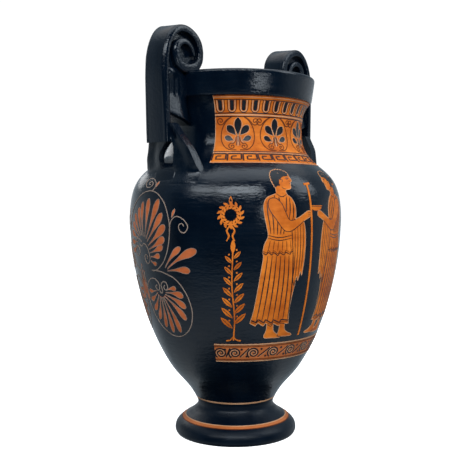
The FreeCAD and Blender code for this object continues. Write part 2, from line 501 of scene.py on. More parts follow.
@dataclass(frozen=True)
class PaintedClay:
    """A tone of the painter: bare clay, or a line drawn on the vase."""

    tone: Tone
    dark: Colour
    light: Colour
    rough: float
    shine: float = 0.14

    def make(self) -> Finish:
        """Builds the material.

        Returns:
            The finish.
        """
        finish = Finish("painted_" + self.tone.value)
        cloud = finish.noise(finish.stretched(64.0, 64.0, 64.0), 4.0)
        wash = finish.noise(finish.around(4.0, 260.0), 3.0)
        grain = finish.noise(finish.stretched(900.0, 900.0, 900.0), 2.0)
        parts = (finish.maths("MULTIPLY", cloud, 0.62), finish.maths("MULTIPLY", wash, 0.38))
        finish.tint(finish.ramp(finish.maths("ADD", *parts), 0.0, 1.0, 0.36, 0.64), self.dark, self.light)
        rough = finish.ramp(grain, self.rough - 0.06, self.rough + 0.06)
        finish.shade(Roughness=rough, Specular_IOR_Level=self.shine)
        finish.bump(grain, 0.00006, 0.5)
        return finish


PALETTE = (
    PaintedClay(Tone.CLAY, (0.43, 0.088, 0.007), (0.73, 0.205, 0.022), 0.52),
    PaintedClay(Tone.RUST, (0.42, 0.100, 0.030), (0.64, 0.168, 0.056), 0.54),
    PaintedClay(Tone.SIENNA, (0.40, 0.112, 0.030), (0.56, 0.170, 0.054), 0.54),
    PaintedClay(Tone.TAN, (0.48, 0.255, 0.130), (0.60, 0.345, 0.200), 0.54),
    PaintedClay(Tone.ASH, (0.24, 0.175, 0.140), (0.35, 0.265, 0.220), 0.56),
    PaintedClay(Tone.BROWN, (0.090, 0.020, 0.005), (0.15, 0.038, 0.010), 0.52),
    PaintedClay(Tone.GLAZE, (0.0016, 0.0034, 0.0070), (0.0034, 0.0064, 0.0120), 0.34, 0.40),
)


class Workshop:
    """Shared steps of modelling: meshes, editing, and hanging finished pieces on the root body."""

    spin_steps = 256

    def __init__(self) -> None:
        """Builds every finish once."""
        self.glaze = {grain: BlackGlaze(grain).make() for grain in Grain}
        self.matt_glaze = BlackGlaze(gloss=0.36, shine=0.27, label="matt").make()
        self.paint = {clay.tone: clay.make() for clay in PALETTE}

    @staticmethod
    def select(obj: bpy.types.Object) -> None:
        """Selects one object only."""
        bpy.ops.object.select_all(action="DESELECT")
        obj.select_set(True)
        bpy.context.view_layer.objects.active = obj

    @staticmethod
    def from_faces(name: str, points: Iterable[Vector], faces: Iterable[Sequence[int]]) -> bpy.types.Object:
        """Makes an object from points and faces.

        Args:
            name: its name.
            points: its corners, in metres.
            faces: the corners of each face.

        Returns:
            The object.
        """
        mesh = bpy.data.meshes.new(name)
        mesh.from_pydata([tuple(p) for p in points], [], [tuple(f) for f in faces])
        return add_object(name, mesh)

    @staticmethod
    def sleeve(stations: int, corners: int) -> Faces:
        """Lists the faces of a closed tube.

        Args:
            stations: how many cross-sections there are.
            corners: how many corners each one has.

        Returns:
            The faces, with both ends shut.
        """
        faces: Faces = [tuple(range(corners))]
        for i in range(stations - 1):
            for k in range(corners):
                n = (k + 1) % corners
                faces.append((i * corners + k, i * corners + n, (i + 1) * corners + n, (i + 1) * corners + k))
        faces.append(tuple((stations - 1) * corners + k for k in range(corners)))
        return faces

    def close_up(self, obj: bpy.types.Object, merge: float = 0.00001, angle: float = 35.0) -> None:
        """Merges doubled corners, turns the faces outwards and smooths the shading.

        Args:
            obj: the piece.
            merge: how far apart corners may be to count as one, in metres.
            angle: the sharpest edge that is shaded smooth, in degrees.
        """
        self.select(obj)
        bpy.ops.object.mode_set(mode="EDIT")
        bpy.ops.mesh.select_all(action="SELECT")
        bpy.ops.mesh.remove_doubles(threshold=merge)
        bpy.ops.mesh.normals_make_consistent(inside=False)
        bpy.ops.object.mode_set(mode="OBJECT")
        bpy.ops.object.shade_smooth_by_angle(angle=math.radians(angle))

    def apply(self, obj: bpy.types.Object, kind: str, **settings: object) -> None:
        """Adds a modifier and applies it.

        Args:
            obj: the piece.
            kind: the modifier's type.
            settings: its settings.
        """
        self.select(obj)
        modifier = obj.modifiers.new(kind.title(), kind)
        for key, value in settings.items():
            setattr(modifier, key, value)
        bpy.ops.object.modifier_apply(modifier=modifier.name)

    def soften(self, obj: bpy.types.Object, width: float, segments: int, angle: float) -> None:
        """Rounds the edges of a piece that are sharper than an angle, by a width in millimetres."""
        self.apply(obj, "BEVEL", width=width * MM, segments=segments, limit_method="ANGLE",
                   angle_limit=math.radians(angle))

    def thrown(self, name: str, outline: Sequence[Point]) -> bpy.types.Object:
        """Spins an outline round the axis of the vase.

        Args:
            name: the object's name.
            outline: (radius, height) pairs in millimetres, which start and end on the axis or join up.

        Returns:
            The object.
        """
        mesh = bpy.data.meshes.new(name)
        edges = [(i, i + 1) for i in range(len(outline) - 1)]
        mesh.from_pydata([(r * MM, 0.0, z * MM) for r, z in outline], edges, [])
        obj = add_object(name, mesh)
        self.select(obj)
        bpy.ops.object.mode_set(mode="EDIT")
        bpy.ops.mesh.select_all(action="SELECT")
        bpy.ops.mesh.spin(steps=self.spin_steps, angle=2 * math.pi, center=(0, 0, 0), axis=(0, 0, 1))
        bpy.ops.object.mode_set(mode="OBJECT")
        self.close_up(obj)
        return obj

    @staticmethod
    def deliver(obj: bpy.types.Object, finish: Finish, *nodes: str, slot: str = "black_glaze") -> None:
        """Dresses a finished piece, hangs it on the root body and hides the solids that it replaces.

        Args:
            obj: the piece.
            finish: its finish.
            nodes: the solids that it replaces.
            slot: not used.
        """
        finish.dress(obj)
        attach(obj, "root")
        if nodes:
            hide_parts(*nodes)
        LOG.info("%s: %d faces", obj.name, len(obj.data.polygons))


@dataclass
class Vessel:
    """The thrown pieces: foot, wall and lip."""

    shop: Workshop
    rest_ring: float = 9.5
    hollow_depth: float = 9.0
    hollow_radius: float = 22.0
    hollow_slope: float = 3.0
    ring_rounding: Point = (1.0, 1.2)
    foot_step: float = 0.6
    wall: float = 6.0
    neck_wall: float = 5.2
    thinning: Point = (196.0, 16.0)
    bowl_top: float = 48.0
    bowl: Line = ((31.0, 42.5), (18.0, 36.6), (0.0, 35.5))
    lip_top: float = 269.0
    lip_radius: float = 60.0
    lip_wall: float = 7.4
    lip_rounding: float = 2.0
    lip_side: Line = ((2.9, 0.0), (2.3, 0.5), (2.0, 1.4), (1.2, 7.0), (0.45, 12.0), (0.1, 15.0))
    step: float = 1.6

    def foot_outline(self) -> list[Point]:
        """Draws the foot: outside up, across the seam, and back under the hollow.

        Returns:
            The outline, as (radius, height) pairs.
        """
        count = int(FOOT_TOP / self.foot_step)
        outside = [FOOT_SIDE.off(FOOT_TOP * i / count, 0.0) for i in range(count + 1)]
        inner = outside[0][0] - self.rest_ring
        inset, rise = self.ring_rounding
        under = [(0.0, self.hollow_depth), (self.hollow_radius, self.hollow_depth),
                 (self.hollow_radius + self.hollow_slope, self.hollow_depth - rise),
                 (inner - inset, rise), (inner, 0.0)]
        return [(0.0, FOOT_TOP)] + outside[::-1] + under[::-1]

    def wall_outline(self) -> list[Point]:
        """Draws the wall: outside up from the foot, over the seam of the lip, and down inside.

        Returns:
            The outline, as (radius, height) pairs.
        """
        rise = LIP_SEAM - FOOT_TOP
        count = int(rise / self.step)
        heights = [FOOT_TOP + rise * i / count for i in range(count + 1)]
        inside: list[Point] = []
        for z in heights[::-1]:
            if z >= self.bowl_top:
                share = part_of(z - self.thinning[0], self.thinning[1])
                inside.append(WALL.off(z, -(self.wall + (self.neck_wall - self.wall) * share)))
        bowl = smooth_curve([inside[-1], *self.bowl], 8)
        return [(0.0, FOOT_TOP)] + [WALL.off(z, 0.0) for z in heights] + inside + bowl[1:]

    def lip_outline(self) -> list[Point]:
        """Draws the lip, a closed ring with rounded upper edges.

        Returns:
            The outline, as (radius, height) pairs.
        """
        r, w, k = self.lip_radius, self.lip_wall, self.lip_rounding
        corner = [math.radians(a) for a in range(0, 91, 15)]
        side = [(r - inset, LIP_SEAM + rise) for inset, rise in self.lip_side]
        outer = [(r - k + k * math.cos(a), self.lip_top - k + k * math.sin(a)) for a in corner]
        inner = [(r - w + k - k * math.sin(a), self.lip_top - k + k * math.cos(a)) for a in corner]
        bore = [(r - w, self.lip_top - 6.0), (r - w, LIP_SEAM)]
        return side + outer + inner + bore + side[:1]

    def build(self) -> None:
        """Builds the three thrown pieces."""
        shop = self.shop
        gloss = shop.glaze[Grain.AROUND]
        shop.deliver(shop.thrown("thrown_foot", self.foot_outline()), shop.matt_glaze, "foot")
        shop.deliver(shop.thrown("thrown_wall", self.wall_outline()), gloss, "belly", "shoulder", "neck")
        shop.deliver(shop.thrown("thrown_lip", self.lip_outline()), gloss, "lip")


@dataclass
class Handle:
    """One handle: the rolled strap with its flanges, the stirrup with its saddle, and the bridge."""

    shop: Workshop
    side: Side
    lean: float = 0.0
    reach: float = 80.6
    width: float = 21.4
    flange_width: float = 3.2
    thickness: float = 5.0
    web_setback: float = 0.05
    tilt: float = 0.08
    tilt_rise: Point = (283.0, 15.0)
    foot_height: float = 218.0
    edge: float = 1.3
    roll_edge: float = 3.1
    roll_edge_rise: Point = (226.0, 44.0)
    roll_edge_reach: Point = (62.0, 16.0)
    seam: float = 0.05
    roll: Line = (
        (82.6, 262), (82.6, 270), (81.9, 278.4), (80, 285.8), (76.8, 291.9), (72.4, 296.4), (67.2, 299.1),
        (61.2, 299.5), (55, 297.7), (49.6, 294), (45.8, 288.8), (44.4, 282.6),
    )
    coil: Line = (
        (44.4, 282.6), (45.2, 275.6), (49.4, 269.6), (56.4, 266.8), (63, 267), (69, 270.4), (72.2, 276.2),
        (72.7, 282.2), (70.2, 287.4), (65.4, 290.2), (59.8, 289.9), (55.6, 287), (53.2, 283), (52.8, 279.4),
    )
    coil_gauge: Line = ((0.0, 5.0), (22.0, 6.4), (48.0, 6.2), (72.0, 5.0), (100.0, 2.2))
    web_half: float = 5.8
    web_inset: float = 2.6
    web_low: Line = ((48.6, 275.0), (53.0, 270.6), (60.0, 269.0), (70.0, 269.0), (79.8, 269.0))
    stirrup_rows: int = 46
    stirrup_across: int = 8
    crown: Line = ((7.0, 231.0), (3.5, 231.0), (0.0, 231.0))
    front_rim: Line = (
        (186, 28.4), (190, 28), (196, 26.4), (202.5, 24.7), (207.5, 23.5), (212, 22), (216.5, 20),
        (221, 17.4), (226, 13.9), (231, 10.7),
    )
    rear_rim: Line = (
        (186, 30.6), (190, 30.2), (196, 28.2), (202.5, 24.4), (207.5, 21.2), (212, 18.2), (216.5, 15.4),
        (221, 13.2), (226, 11.6), (231, 10.7),
    )
    front_gap: Line = (
        (186, 4), (190, 4.4), (195, 5), (201, 6.2), (206, 7.4), (210, 8.6), (214, 9.4), (217, 9.6),
        (218.8, 9.2), (219.6, 8),
    )
    rear_gap: Line = (
        (186, 6.6), (190, 6.9), (195, 7.2), (201, 7.2), (205, 6.9), (208.4, 6), (211.8, 3.8), (215, 0),
        (217.8, -4), (219.2, -6.8), (219.6, -8),
    )
    front_face: Line = (
        (186, 75.4), (189, 76.4), (192, 75.4), (195, 74.3), (198, 73.6), (202, 73.8), (207, 75), (214, 76.4),
        (219, 78), (231, 79),
    )
    rear_face: Line = (
        (186, 74.6), (190, 75.2), (193, 74.2), (196, 73), (199, 72.4), (203, 73), (207, 74.6), (214, 76.2),
        (219, 77.6), (231, 78.8),
    )
    back_line: Line = (
        (186, 70.5), (193, 69.8), (198, 68.2), (202, 68.4), (207, 69.6), (214, 71.2), (219, 72.6),
        (231, 73.4),
    )
    ridge_height: float = 0.8
    ridge_place: float = 0.90
    ridge_reach: float = 0.13
    groove_place: float = 0.5
    groove_reach: float = 0.28
    relief_rise: Point = (193.0, 12.0)
    toe_top: float = 201.0
    toe_height: float = 8.0
    stirrup_rounding: float = 1.7
    root_rounding: float = 0.9
    root_half: float = 10.5
    root_depth: float = 2.4
    root_stations: int = 16
    root_face: Line = (
        (209.6, 0.6), (209.9, 3.4), (209, 6.2), (206.8, 7), (204, 6.2), (200.6, 4.2), (197.2, 2.2),
        (194, 0.7), (190.6, -0.4),
    )
    root_back: tuple[float, ...] = (190.6, 196.0, 201.0, 205.6, 209.6)
    bridge_start: float = 50.0
    bridge_reach: float = 28.2
    bridge_columns: int = 30
    bridge_rows: int = 36
    bridge_pinch: float = 0.8
    bridge_low: float = 231.2
    low_rise: float = 7.0
    low_bend: Point = (56.0, 22.2)
    bridge_top: tuple[Stretch, ...] = ((50.0, 249.0, 3.5), (54.5, 266.0, 0.0), (60.5, 267.5, 0.45))
    bridge_limit: float = 270.4
    bridge_half: float = 7.2
    fold_depth: float = 0.24
    fold_crest: float = 75.9
    fold_pitch: float = 4.6
    fold_start: Point = (60.0, 4.0)
    fold_low: float = 248.0
    fold_high: float = 263.0
    fold_fade: float = 3.0
    facet_half: float = 8.7
    facet_middle: Point = (70.0, 245.0)
    facet_slopes: Point = (0.12, 0.16)
    facet_bend: Point = (67.0, 0.042)
    facet_top: Point = (252.0, 2.6)
    lump: float = 2.4
    lump_middle: Point = (73.4, 266.2)
    lump_reach: Point = (5.0, 3.6)

    def band(self, setback: float) -> tuple[list[Point], list[Point]]:
        """Draws the two faces of the band, station by station.

        Args:
            setback: how far both faces stand back.

        Returns:
            The outer points and the inner points, as (reach, height) pairs of equal number.
        """
        climb = spread([(self.reach, self.foot_height), self.roll[0]], 4.0)
        over = climb[:-1] + spread(smooth_curve(self.roll, 8), 1.3)
        turn = spread(smooth_curve(self.coil, 10), 1.3)[1:]
        outer = over + turn
        gauge = [self.thickness] * len(over)
        for i in range(len(turn)):
            done = 100.0 * (i + 1) / len(turn)
            k = locate([share for share, _ in self.coil_gauge], done)[0]
            (a, low), (b, high) = self.coil_gauge[k:k + 2]
            gauge.append(low + (high - low) * (done - a) / (b - a))
        face = [beside(outer, i, -setback) for i in range(len(outer))]
        back = [beside(outer, i, setback - g) for i, g in enumerate(gauge)]
        return face, back

    def _place(self, x: float, y: float, z: float) -> Vector:
        """A point of the strap, in metres. The roll is a little higher at the back than at the front."""
        share = part_of(z - self.tilt_rise[0], self.tilt_rise[1])
        return Vector((self.side.value * x, y, z + self.tilt * (y + self.width / 2) * share)) * MM

    def _strip(self, name: str, setback: float, ends: Point, rounding: Point) -> bpy.types.Object:
        """Builds a band of the strap between two places across its width.

        Args:
            name: the piece's name.
            setback: how far its faces stand back.
            ends: its nearer and its farther edge, along Y.
            rounding: how wide these two edges are rounded. One under 0.5 is a seam, and stays so on the roll.

        Returns:
            The piece.
        """
        turns = [math.radians(22.5 * k) for k in range(5)]
        start, end = ends
        points: list[Vector] = []
        stations = list(zip(*self.band(setback)))
        for (ox, oz), (ix, iz) in stations:
            thick = math.dist((ox, oz), (ix, iz))
            wide = part_of(oz - self.roll_edge_rise[0], self.roll_edge_rise[1])
            wide *= part_of(ox - self.roll_edge_reach[0], self.roll_edge_reach[1])
            a, b = (r if r < 0.5 else r + (self.roll_edge - r) * wide for r in rounding)
            c, e = 0.5 * a, 0.5 * b
            ring = [(start + a - a * math.cos(t), a - a * math.sin(t)) for t in turns]
            ring += [(end - b + b * math.sin(t), b - b * math.cos(t)) for t in turns]
            ring += [(end - e + e * math.cos(t), thick - e + e * math.sin(t)) for t in turns]
            ring += [(start + c - c * math.sin(t), thick - c + c * math.cos(t)) for t in turns]
            for y, depth in ring:
                share = part_of(depth, thick)
                points.append(self._place(ox + (ix - ox) * share, y, oz + (iz - oz) * share))
        obj = self.shop.from_faces(name, points, self.shop.sleeve(len(stations), 4 * len(turns)))
        self.shop.close_up(obj, merge=0.000002, angle=50)
        return obj

    def build_strap(self) -> None:
        """Builds the web and the two flanges, which roll together."""
        half = self.width / 2
        word = self.side.word
        inset = half - self.flange_width
        for name, node, setback, ends, rounding in (
            ("rolled_strap_", "_strap", self.web_setback, (-inset, inset), (self.seam, self.seam)),
            ("front_flange_", "_front_flange", 0.0, (-half, -inset), (self.edge, self.seam)),
            ("rear_flange_", "_rear_flange", 0.0, (inset, half), (self.seam, self.edge)),
        ):
            piece = self._strip(name + word, setback, ends, rounding)
            self.shop.deliver(piece, self.shop.glaze[Grain.UPRIGHT], word + node)

    def build_web(self) -> None:
        """Builds the clay inside the roll, set back from both sides."""
        roll = smooth_curve(self.roll[2:], 4)
        outline = [beside(roll, i, -self.web_inset) for i in range(len(roll))] + list(self.web_low)
        count = len(outline)
        points = [self._place(x, y, z) for y in (-self.web_half, self.web_half) for x, z in outline]
        faces: Faces = [tuple(range(count)), tuple(range(count, 2 * count))]
        faces += [(k, (k + 1) % count, count + (k + 1) % count, count + k) for k in range(count)]
        obj = self.shop.from_faces("volute_web_" + self.side.word, points, faces)
        self.shop.close_up(obj)
        self.shop.deliver(obj, self.shop.glaze[Grain.UPRIGHT])

    def _stirrup_rows(self) -> list[tuple[Point, Point]]:
        """Lays out the stirrup from one foot over the arch to the other.

        Returns:
            For each row its inner and its outer point, as (depth, height) pairs.
        """
        rims, gaps = (
            [evenly([(w, z) for z, w in smooth_curve(line, 5)] + more, self.stirrup_rows) for line in lines]
            for lines, more in (((self.front_rim, self.rear_rim), list(self.crown)),
                                ((self.front_gap, self.rear_gap), []))
        )
        rows = [((-g[0], g[1]), (-o[0], o[1])) for g, o in zip(gaps[0], rims[0])]
        return rows + list(zip(gaps[1], rims[1]))[-2::-1]

    def _front_radius(self, face: float, t: float, z: float) -> float:
        """Shapes the front of a leg: a ridge near its rim, a groove, and a toe that melts into the wall.

        Args:
            face: the radius of the plain leg.
            t: how far across the leg the place is, from the gap to the rim.
            z: its height.

        Returns:
            The radius of the shaped leg.
        """
        ridge = self.ridge_height * bell((t - self.ridge_place) / self.ridge_reach)
        relief = ridge - bell((t - self.groove_place) / self.groove_reach)
        radius = face + relief * part_of(z - self.relief_rise[0], self.relief_rise[1])
        proud = max(radius - WALL.radius(z), 0.0)
        return radius - proud * part_of(self.toe_top - z, self.toe_height) * (2.0 * t - 1.0) ** 2

    def build_stirrup(self) -> None:
        """Builds the arch that stands on the shoulder, as a curved ribbon with a ridge along its rim."""
        lines = (self.front_face, self.rear_face, self.back_line)
        front, rear, back = (Outline(spread(smooth_curve(line, 8), 3.0)) for line in lines)
        across = [k / self.stirrup_across for k in range(self.stirrup_across + 1)]
        rows = self._stirrup_rows()
        points: list[Vector] = []
        for inner, outer in rows:
            for outside, shares in ((True, across), (False, [1 - t for t in across])):
                for t in shares:
                    y = inner[0] + (outer[0] - inner[0]) * t
                    z = inner[1] + (outer[1] - inner[1]) * t
                    radius = back.radius(z)
                    if outside:
                        radius = self._front_radius((rear if y > 0 else front).radius(z), t, z)
                    y += self.lean
                    x = math.sqrt(max(radius**2 - y**2, 1.0))
                    points.append(Vector((self.side.value * x, y, z)) * MM)
        faces = self.shop.sleeve(len(rows), 2 * len(across))
        obj = self.shop.from_faces("stirrup_" + self.side.word, points, faces)
        self.shop.close_up(obj, merge=0.000002)
        self.shop.soften(obj, self.stirrup_rounding, 5, 55)
        self.shop.apply(obj, "SMOOTH", factor=0.5, iterations=3)
        self.shop.close_up(obj, merge=0.000002, angle=60)
        self.shop.deliver(obj, self.shop.glaze[Grain.UPRIGHT], self.side.word + "_stirrup")

    def build_root(self) -> None:
        """Builds the low saddle of clay between the two legs, pressed on the shoulder."""
        ring = [(WALL.radius(z) + rise, z) for z, rise in self.root_face]
        ring += [(WALL.radius(z) - self.root_depth, z) for z in self.root_back]
        points: list[Vector] = []
        for i in range(self.root_stations + 1):
            y = -self.root_half + 2 * self.root_half * i / self.root_stations
            for radius, z in ring:
                x, turned = polar((0.0, 0.0), radius, y / radius)
                points.append(Vector((self.side.value * x, turned, z)) * MM)
        faces = self.shop.sleeve(self.root_stations + 1, len(ring))
        obj = self.shop.from_faces("stirrup_root_" + self.side.word, points, faces)
        self.shop.close_up(obj)
        self.shop.soften(obj, self.root_rounding, 3, 30)
        self.shop.close_up(obj, angle=60)
        self.shop.deliver(obj, self.shop.glaze[Grain.AROUND])

    def _bridge_half(self, x: float, z: float) -> float:
        """Gives the bridge a flat flared foot, folds above it and a lump under the coil.

        Args:
            x: a distance from the axis of the vase.
            z: a height.

        Returns:
            Half the width of the bridge there.
        """
        folds = part_of(z - self.fold_low, self.fold_fade) * part_of(self.fold_high - z, self.fold_fade)
        folds *= part_of(x - self.fold_start[0], self.fold_start[1])
        wave = math.cos(2 * math.pi * (x - self.fold_crest) / self.fold_pitch)
        half = self.bridge_half + folds * self.fold_depth * wave
        (middle_x, middle_z), (slope_x, slope_z) = self.facet_middle, self.facet_slopes
        facet = self.facet_half - slope_x * (x - middle_x) + slope_z * (middle_z - z)
        facet -= self.facet_bend[1] * max(self.facet_bend[0] - x, 0.0) ** 2
        low = part_of(self.facet_top[0] - z, self.facet_top[1])
        half += (facet - half) * low * low * (3 - 2 * low)
        offsets = (x - self.lump_middle[0], z - self.lump_middle[1])
        return half + self.lump * bell(*(offset / reach for offset, reach in zip(offsets, self.lump_reach)))

    def build_bridge(self) -> None:
        """Builds the lug from the strap to the neck and lip, pressed on by hand."""
        rows = self.bridge_rows
        points: list[Vector] = []
        for column in range(self.bridge_columns + 1):
            x = self.bridge_start + self.bridge_reach * column / self.bridge_columns
            low = self.bridge_low + self.low_rise * max(x - self.low_bend[0], 0.0) / self.low_bend[1]
            start, top, slope = [stretch for stretch in self.bridge_top if stretch[0] <= x][-1]
            high = min(top + slope * (x - start), self.bridge_limit)
            for hand, order in ((-1, range(rows + 1)), (1, range(rows, -1, -1))):
                for i in order:
                    z = low + (high - low) * i / rows
                    half = self._bridge_half(x, z) - (self.bridge_pinch if i in (0, rows) else 0.0)
                    points.append(Vector((self.side.value * x, hand * half, z)) * MM)
        faces = self.shop.sleeve(self.bridge_columns + 1, 2 * (rows + 1))
        obj = self.shop.from_faces("bridge_" + self.side.word, points, faces)
        self.shop.close_up(obj)
        self.shop.apply(obj, "SMOOTH", factor=0.5, iterations=2)
        self.shop.close_up(obj, angle=60)
        self.shop.deliver(obj, self.shop.glaze[Grain.UPRIGHT], self.side.word + "_bridge")

    def build(self) -> None:
        """Builds the whole handle."""
        self.build_strap()
        self.build_web()
        self.build_stirrup()
        self.build_root()
        self.build_bridge()


@dataclass
class Patch:
    """A filled shape on the wall, as angles and heights."""

    outline: list[Point]
    tone: Tone = Tone.CLAY
    level: int = 0


@dataclass
class Stroke:
    """A brush line on the wall, as angles and heights, with its width in millimetres."""

    points: list[Point]
    width: float
    tone: Tone = Tone.GLAZE
    taper: bool = False
    closed: bool = False


Drawing = tuple[list[Patch], list[Stroke]]


@dataclass(frozen=True)
class Canvas:
    """A flat sheet that wraps round the wall, with its middle at an angle and its zero line at a height.

    On an upright sheet, widths stay true at every height. A larger size grows from the height of the sole.
    """

    angle: float
    height: float
    flip: bool = False
    upright: bool = False
    size: float = 1.0
    sole: float = 0.0

    def spot(self, x: float, y: float) -> Point:
        """Finds a point of the drawing on the wall.

        Args:
            x: millimetres to the right of the middle.
            y: millimetres above the zero line.

        Returns:
            Its angle and height.
        """
        rise = self.sole + (y - self.sole) * self.size
        height = WALL.height_at(WALL.run_at(self.height) + rise)
        turn = math.degrees(x * self.size / WALL.radius(height if self.upright else self.height))
        return self.angle - turn if self.flip else self.angle + turn, height

    def patch(self, points: Iterable[Point], tone: Tone = Tone.CLAY, level: int = 0) -> Patch:
        """A filled shape of the drawing."""
        return Patch([self.spot(x, y) for x, y in points], tone, level)

    def stroke(self, points: Iterable[Point], width: float, tone: Tone = Tone.GLAZE, taper: bool = False,
               closed: bool = False) -> Stroke:
        """A line of the drawing."""
        return Stroke([self.spot(x, y) for x, y in points], width, tone, taper, closed)


class Painter:
    """Turns flat shapes into thin raised slip on the wall."""

    patch_lift = {
        Tone.CLAY: 0.08, Tone.RUST: 0.08, Tone.SIENNA: 0.08, Tone.GLAZE: 0.20, Tone.TAN: 0.22, Tone.ASH: 0.22,
        Tone.BROWN: 0.22,
    }
    stroke_lift = {
        Tone.CLAY: 0.26, Tone.RUST: 0.26, Tone.GLAZE: 0.25, Tone.TAN: 0.23, Tone.ASH: 0.22, Tone.BROWN: 0.24,
    }
    level_step = 0.03
    depth = 0.32
    grid = (2.5, 3.0)
    grid_offset = 0.0137
    stroke_step = 1.0

    def __init__(self, shop: Workshop) -> None:
        """Takes the workshop."""
        self.shop = shop

    def patches(self, name: str, patches: Sequence[Patch]) -> None:
        """Paints filled shapes, a piece for each tone.

        Args:
            name: the first part of the pieces' names.
            patches: the shapes.
        """
        for tone in Tone:
            chosen = [p for p in patches if p.tone is tone]
            if not chosen:
                continue
            work = bmesh.new()
            for patch in chosen:
                rise = patch.level * self.level_step
                work.faces.new([work.verts.new((a, z, rise)) for a, z in patch.outline])
            work.normal_update()
            bmesh.ops.triangulate(work, faces=work.faces[:], ngon_method="EAR_CLIP")
            for axis, step in enumerate(self.grid):
                self._slice(work, axis, step)
            for face in work.faces:
                if face.normal.z < 0:
                    face.normal_flip()
            for vert in work.verts:
                vert.co = WALL.place(vert.co.x, vert.co.y, self.patch_lift[tone] + vert.co.z)
            mesh = bpy.data.meshes.new(name)
            work.to_mesh(mesh)
            work.free()
            obj = add_object(name + "_" + tone.value, mesh)
            self.shop.apply(obj, "SOLIDIFY", thickness=self.depth * MM, offset=-1.0)
            self.shop.close_up(obj, merge=0.0000005)
            self.shop.deliver(obj, self.shop.paint[tone])

    def _slice(self, work: bmesh.types.BMesh, axis: int, step: float) -> None:
        """Cuts the flat shapes along a grid, so that they can follow the curve of the wall.

        Args:
            work: the shapes.
            axis: 0 to cut at angles, 1 to cut at heights.
            step: how far apart the cuts are.
        """
        values = [v.co[axis] for v in work.verts]
        direction = Vector((1 - axis, axis, 0))
        high = max(values)
        cut = math.floor(min(values) / step) * step + step + self.grid_offset
        while cut < high:
            near = [f for f in work.faces
                    if min(v.co[axis] for v in f.verts) < cut < max(v.co[axis] for v in f.verts)]
            geometry = set(near)
            for face in near:
                geometry.update(face.edges)
                geometry.update(face.verts)
            if geometry:
                bmesh.ops.bisect_plane(work, geom=list(geometry), dist=1e-6, plane_co=direction * cut,
                                       plane_no=direction)
            cut += step

    def strokes(self, name: str, strokes: Sequence[Stroke]) -> None:
        """Paints lines, a piece for each tone.

        Args:
            name: the first part of the pieces' names.
            strokes: the lines.
        """
        for tone in Tone:
            chosen = [s for s in strokes if s.tone is tone]
            if not chosen:
                continue
            points: list[Vector] = []
            faces: Faces = []
            for stroke in chosen:
                self._stroke(stroke, self.stroke_lift[tone], points, faces)
            obj = self.shop.from_faces(name + "_" + tone.value, points, faces)
            self.shop.close_up(obj, merge=0.0000001)
            self.shop.deliver(obj, self.shop.paint[tone])

    def _stroke(self, stroke: Stroke, lift: float, points: list[Vector], faces: Faces) -> None:
        """Adds one line to a piece.

        Args:
            stroke: the line.
            lift: how far it stands off the wall.
            points: the corners of the piece, which get its corners.
            faces: the faces of the piece, which get its faces.
        """
        scale = math.radians(WALL.radius(stroke.points[0][1]))
        path = list(stroke.points) + ([stroke.points[0]] if stroke.closed else [])
        course = [(x / scale, z) for x, z in spread([(a * scale, z) for a, z in path], self.stroke_step)]
        if stroke.closed:
            course.pop()
        first = len(points)
        count = len(course)
        for i, (angle, height) in enumerate(course):
            back = course[i - 1] if stroke.closed or i > 0 else course[0]
            ahead = course[(i + 1) % count] if stroke.closed or i + 1 < count else course[-1]
            here = WALL.place(angle, height)
            outward = (WALL.place(angle, height, 1.0) - here).normalized()
            aside = (WALL.place(*ahead) - WALL.place(*back)).cross(outward).normalized()
            fade = 0.3 + 0.7 * abs(math.sin(math.pi * i / max(count - 1, 1))) ** 0.6 if stroke.taper else 1.0
            half = aside * (stroke.width * fade * MM / 2)
            top = here + outward * (lift * MM)
            low = here - outward * ((self.depth - lift) * MM)
            points += [top + half, top - half, low - half, low + half]
        for i in range(count if stroke.closed else count - 1):
            base = first + 4 * i
            following = first + 4 * ((i + 1) % count)
            for j in range(4):
                n = (j + 1) % 4
                faces.append((base + j, base + n, following + n, following + j))
        if not stroke.closed:
            last = first + 4 * (count - 1)
            faces.append((first, first + 1, first + 2, first + 3))
            faces.append((last + 3, last + 2, last + 1, last))


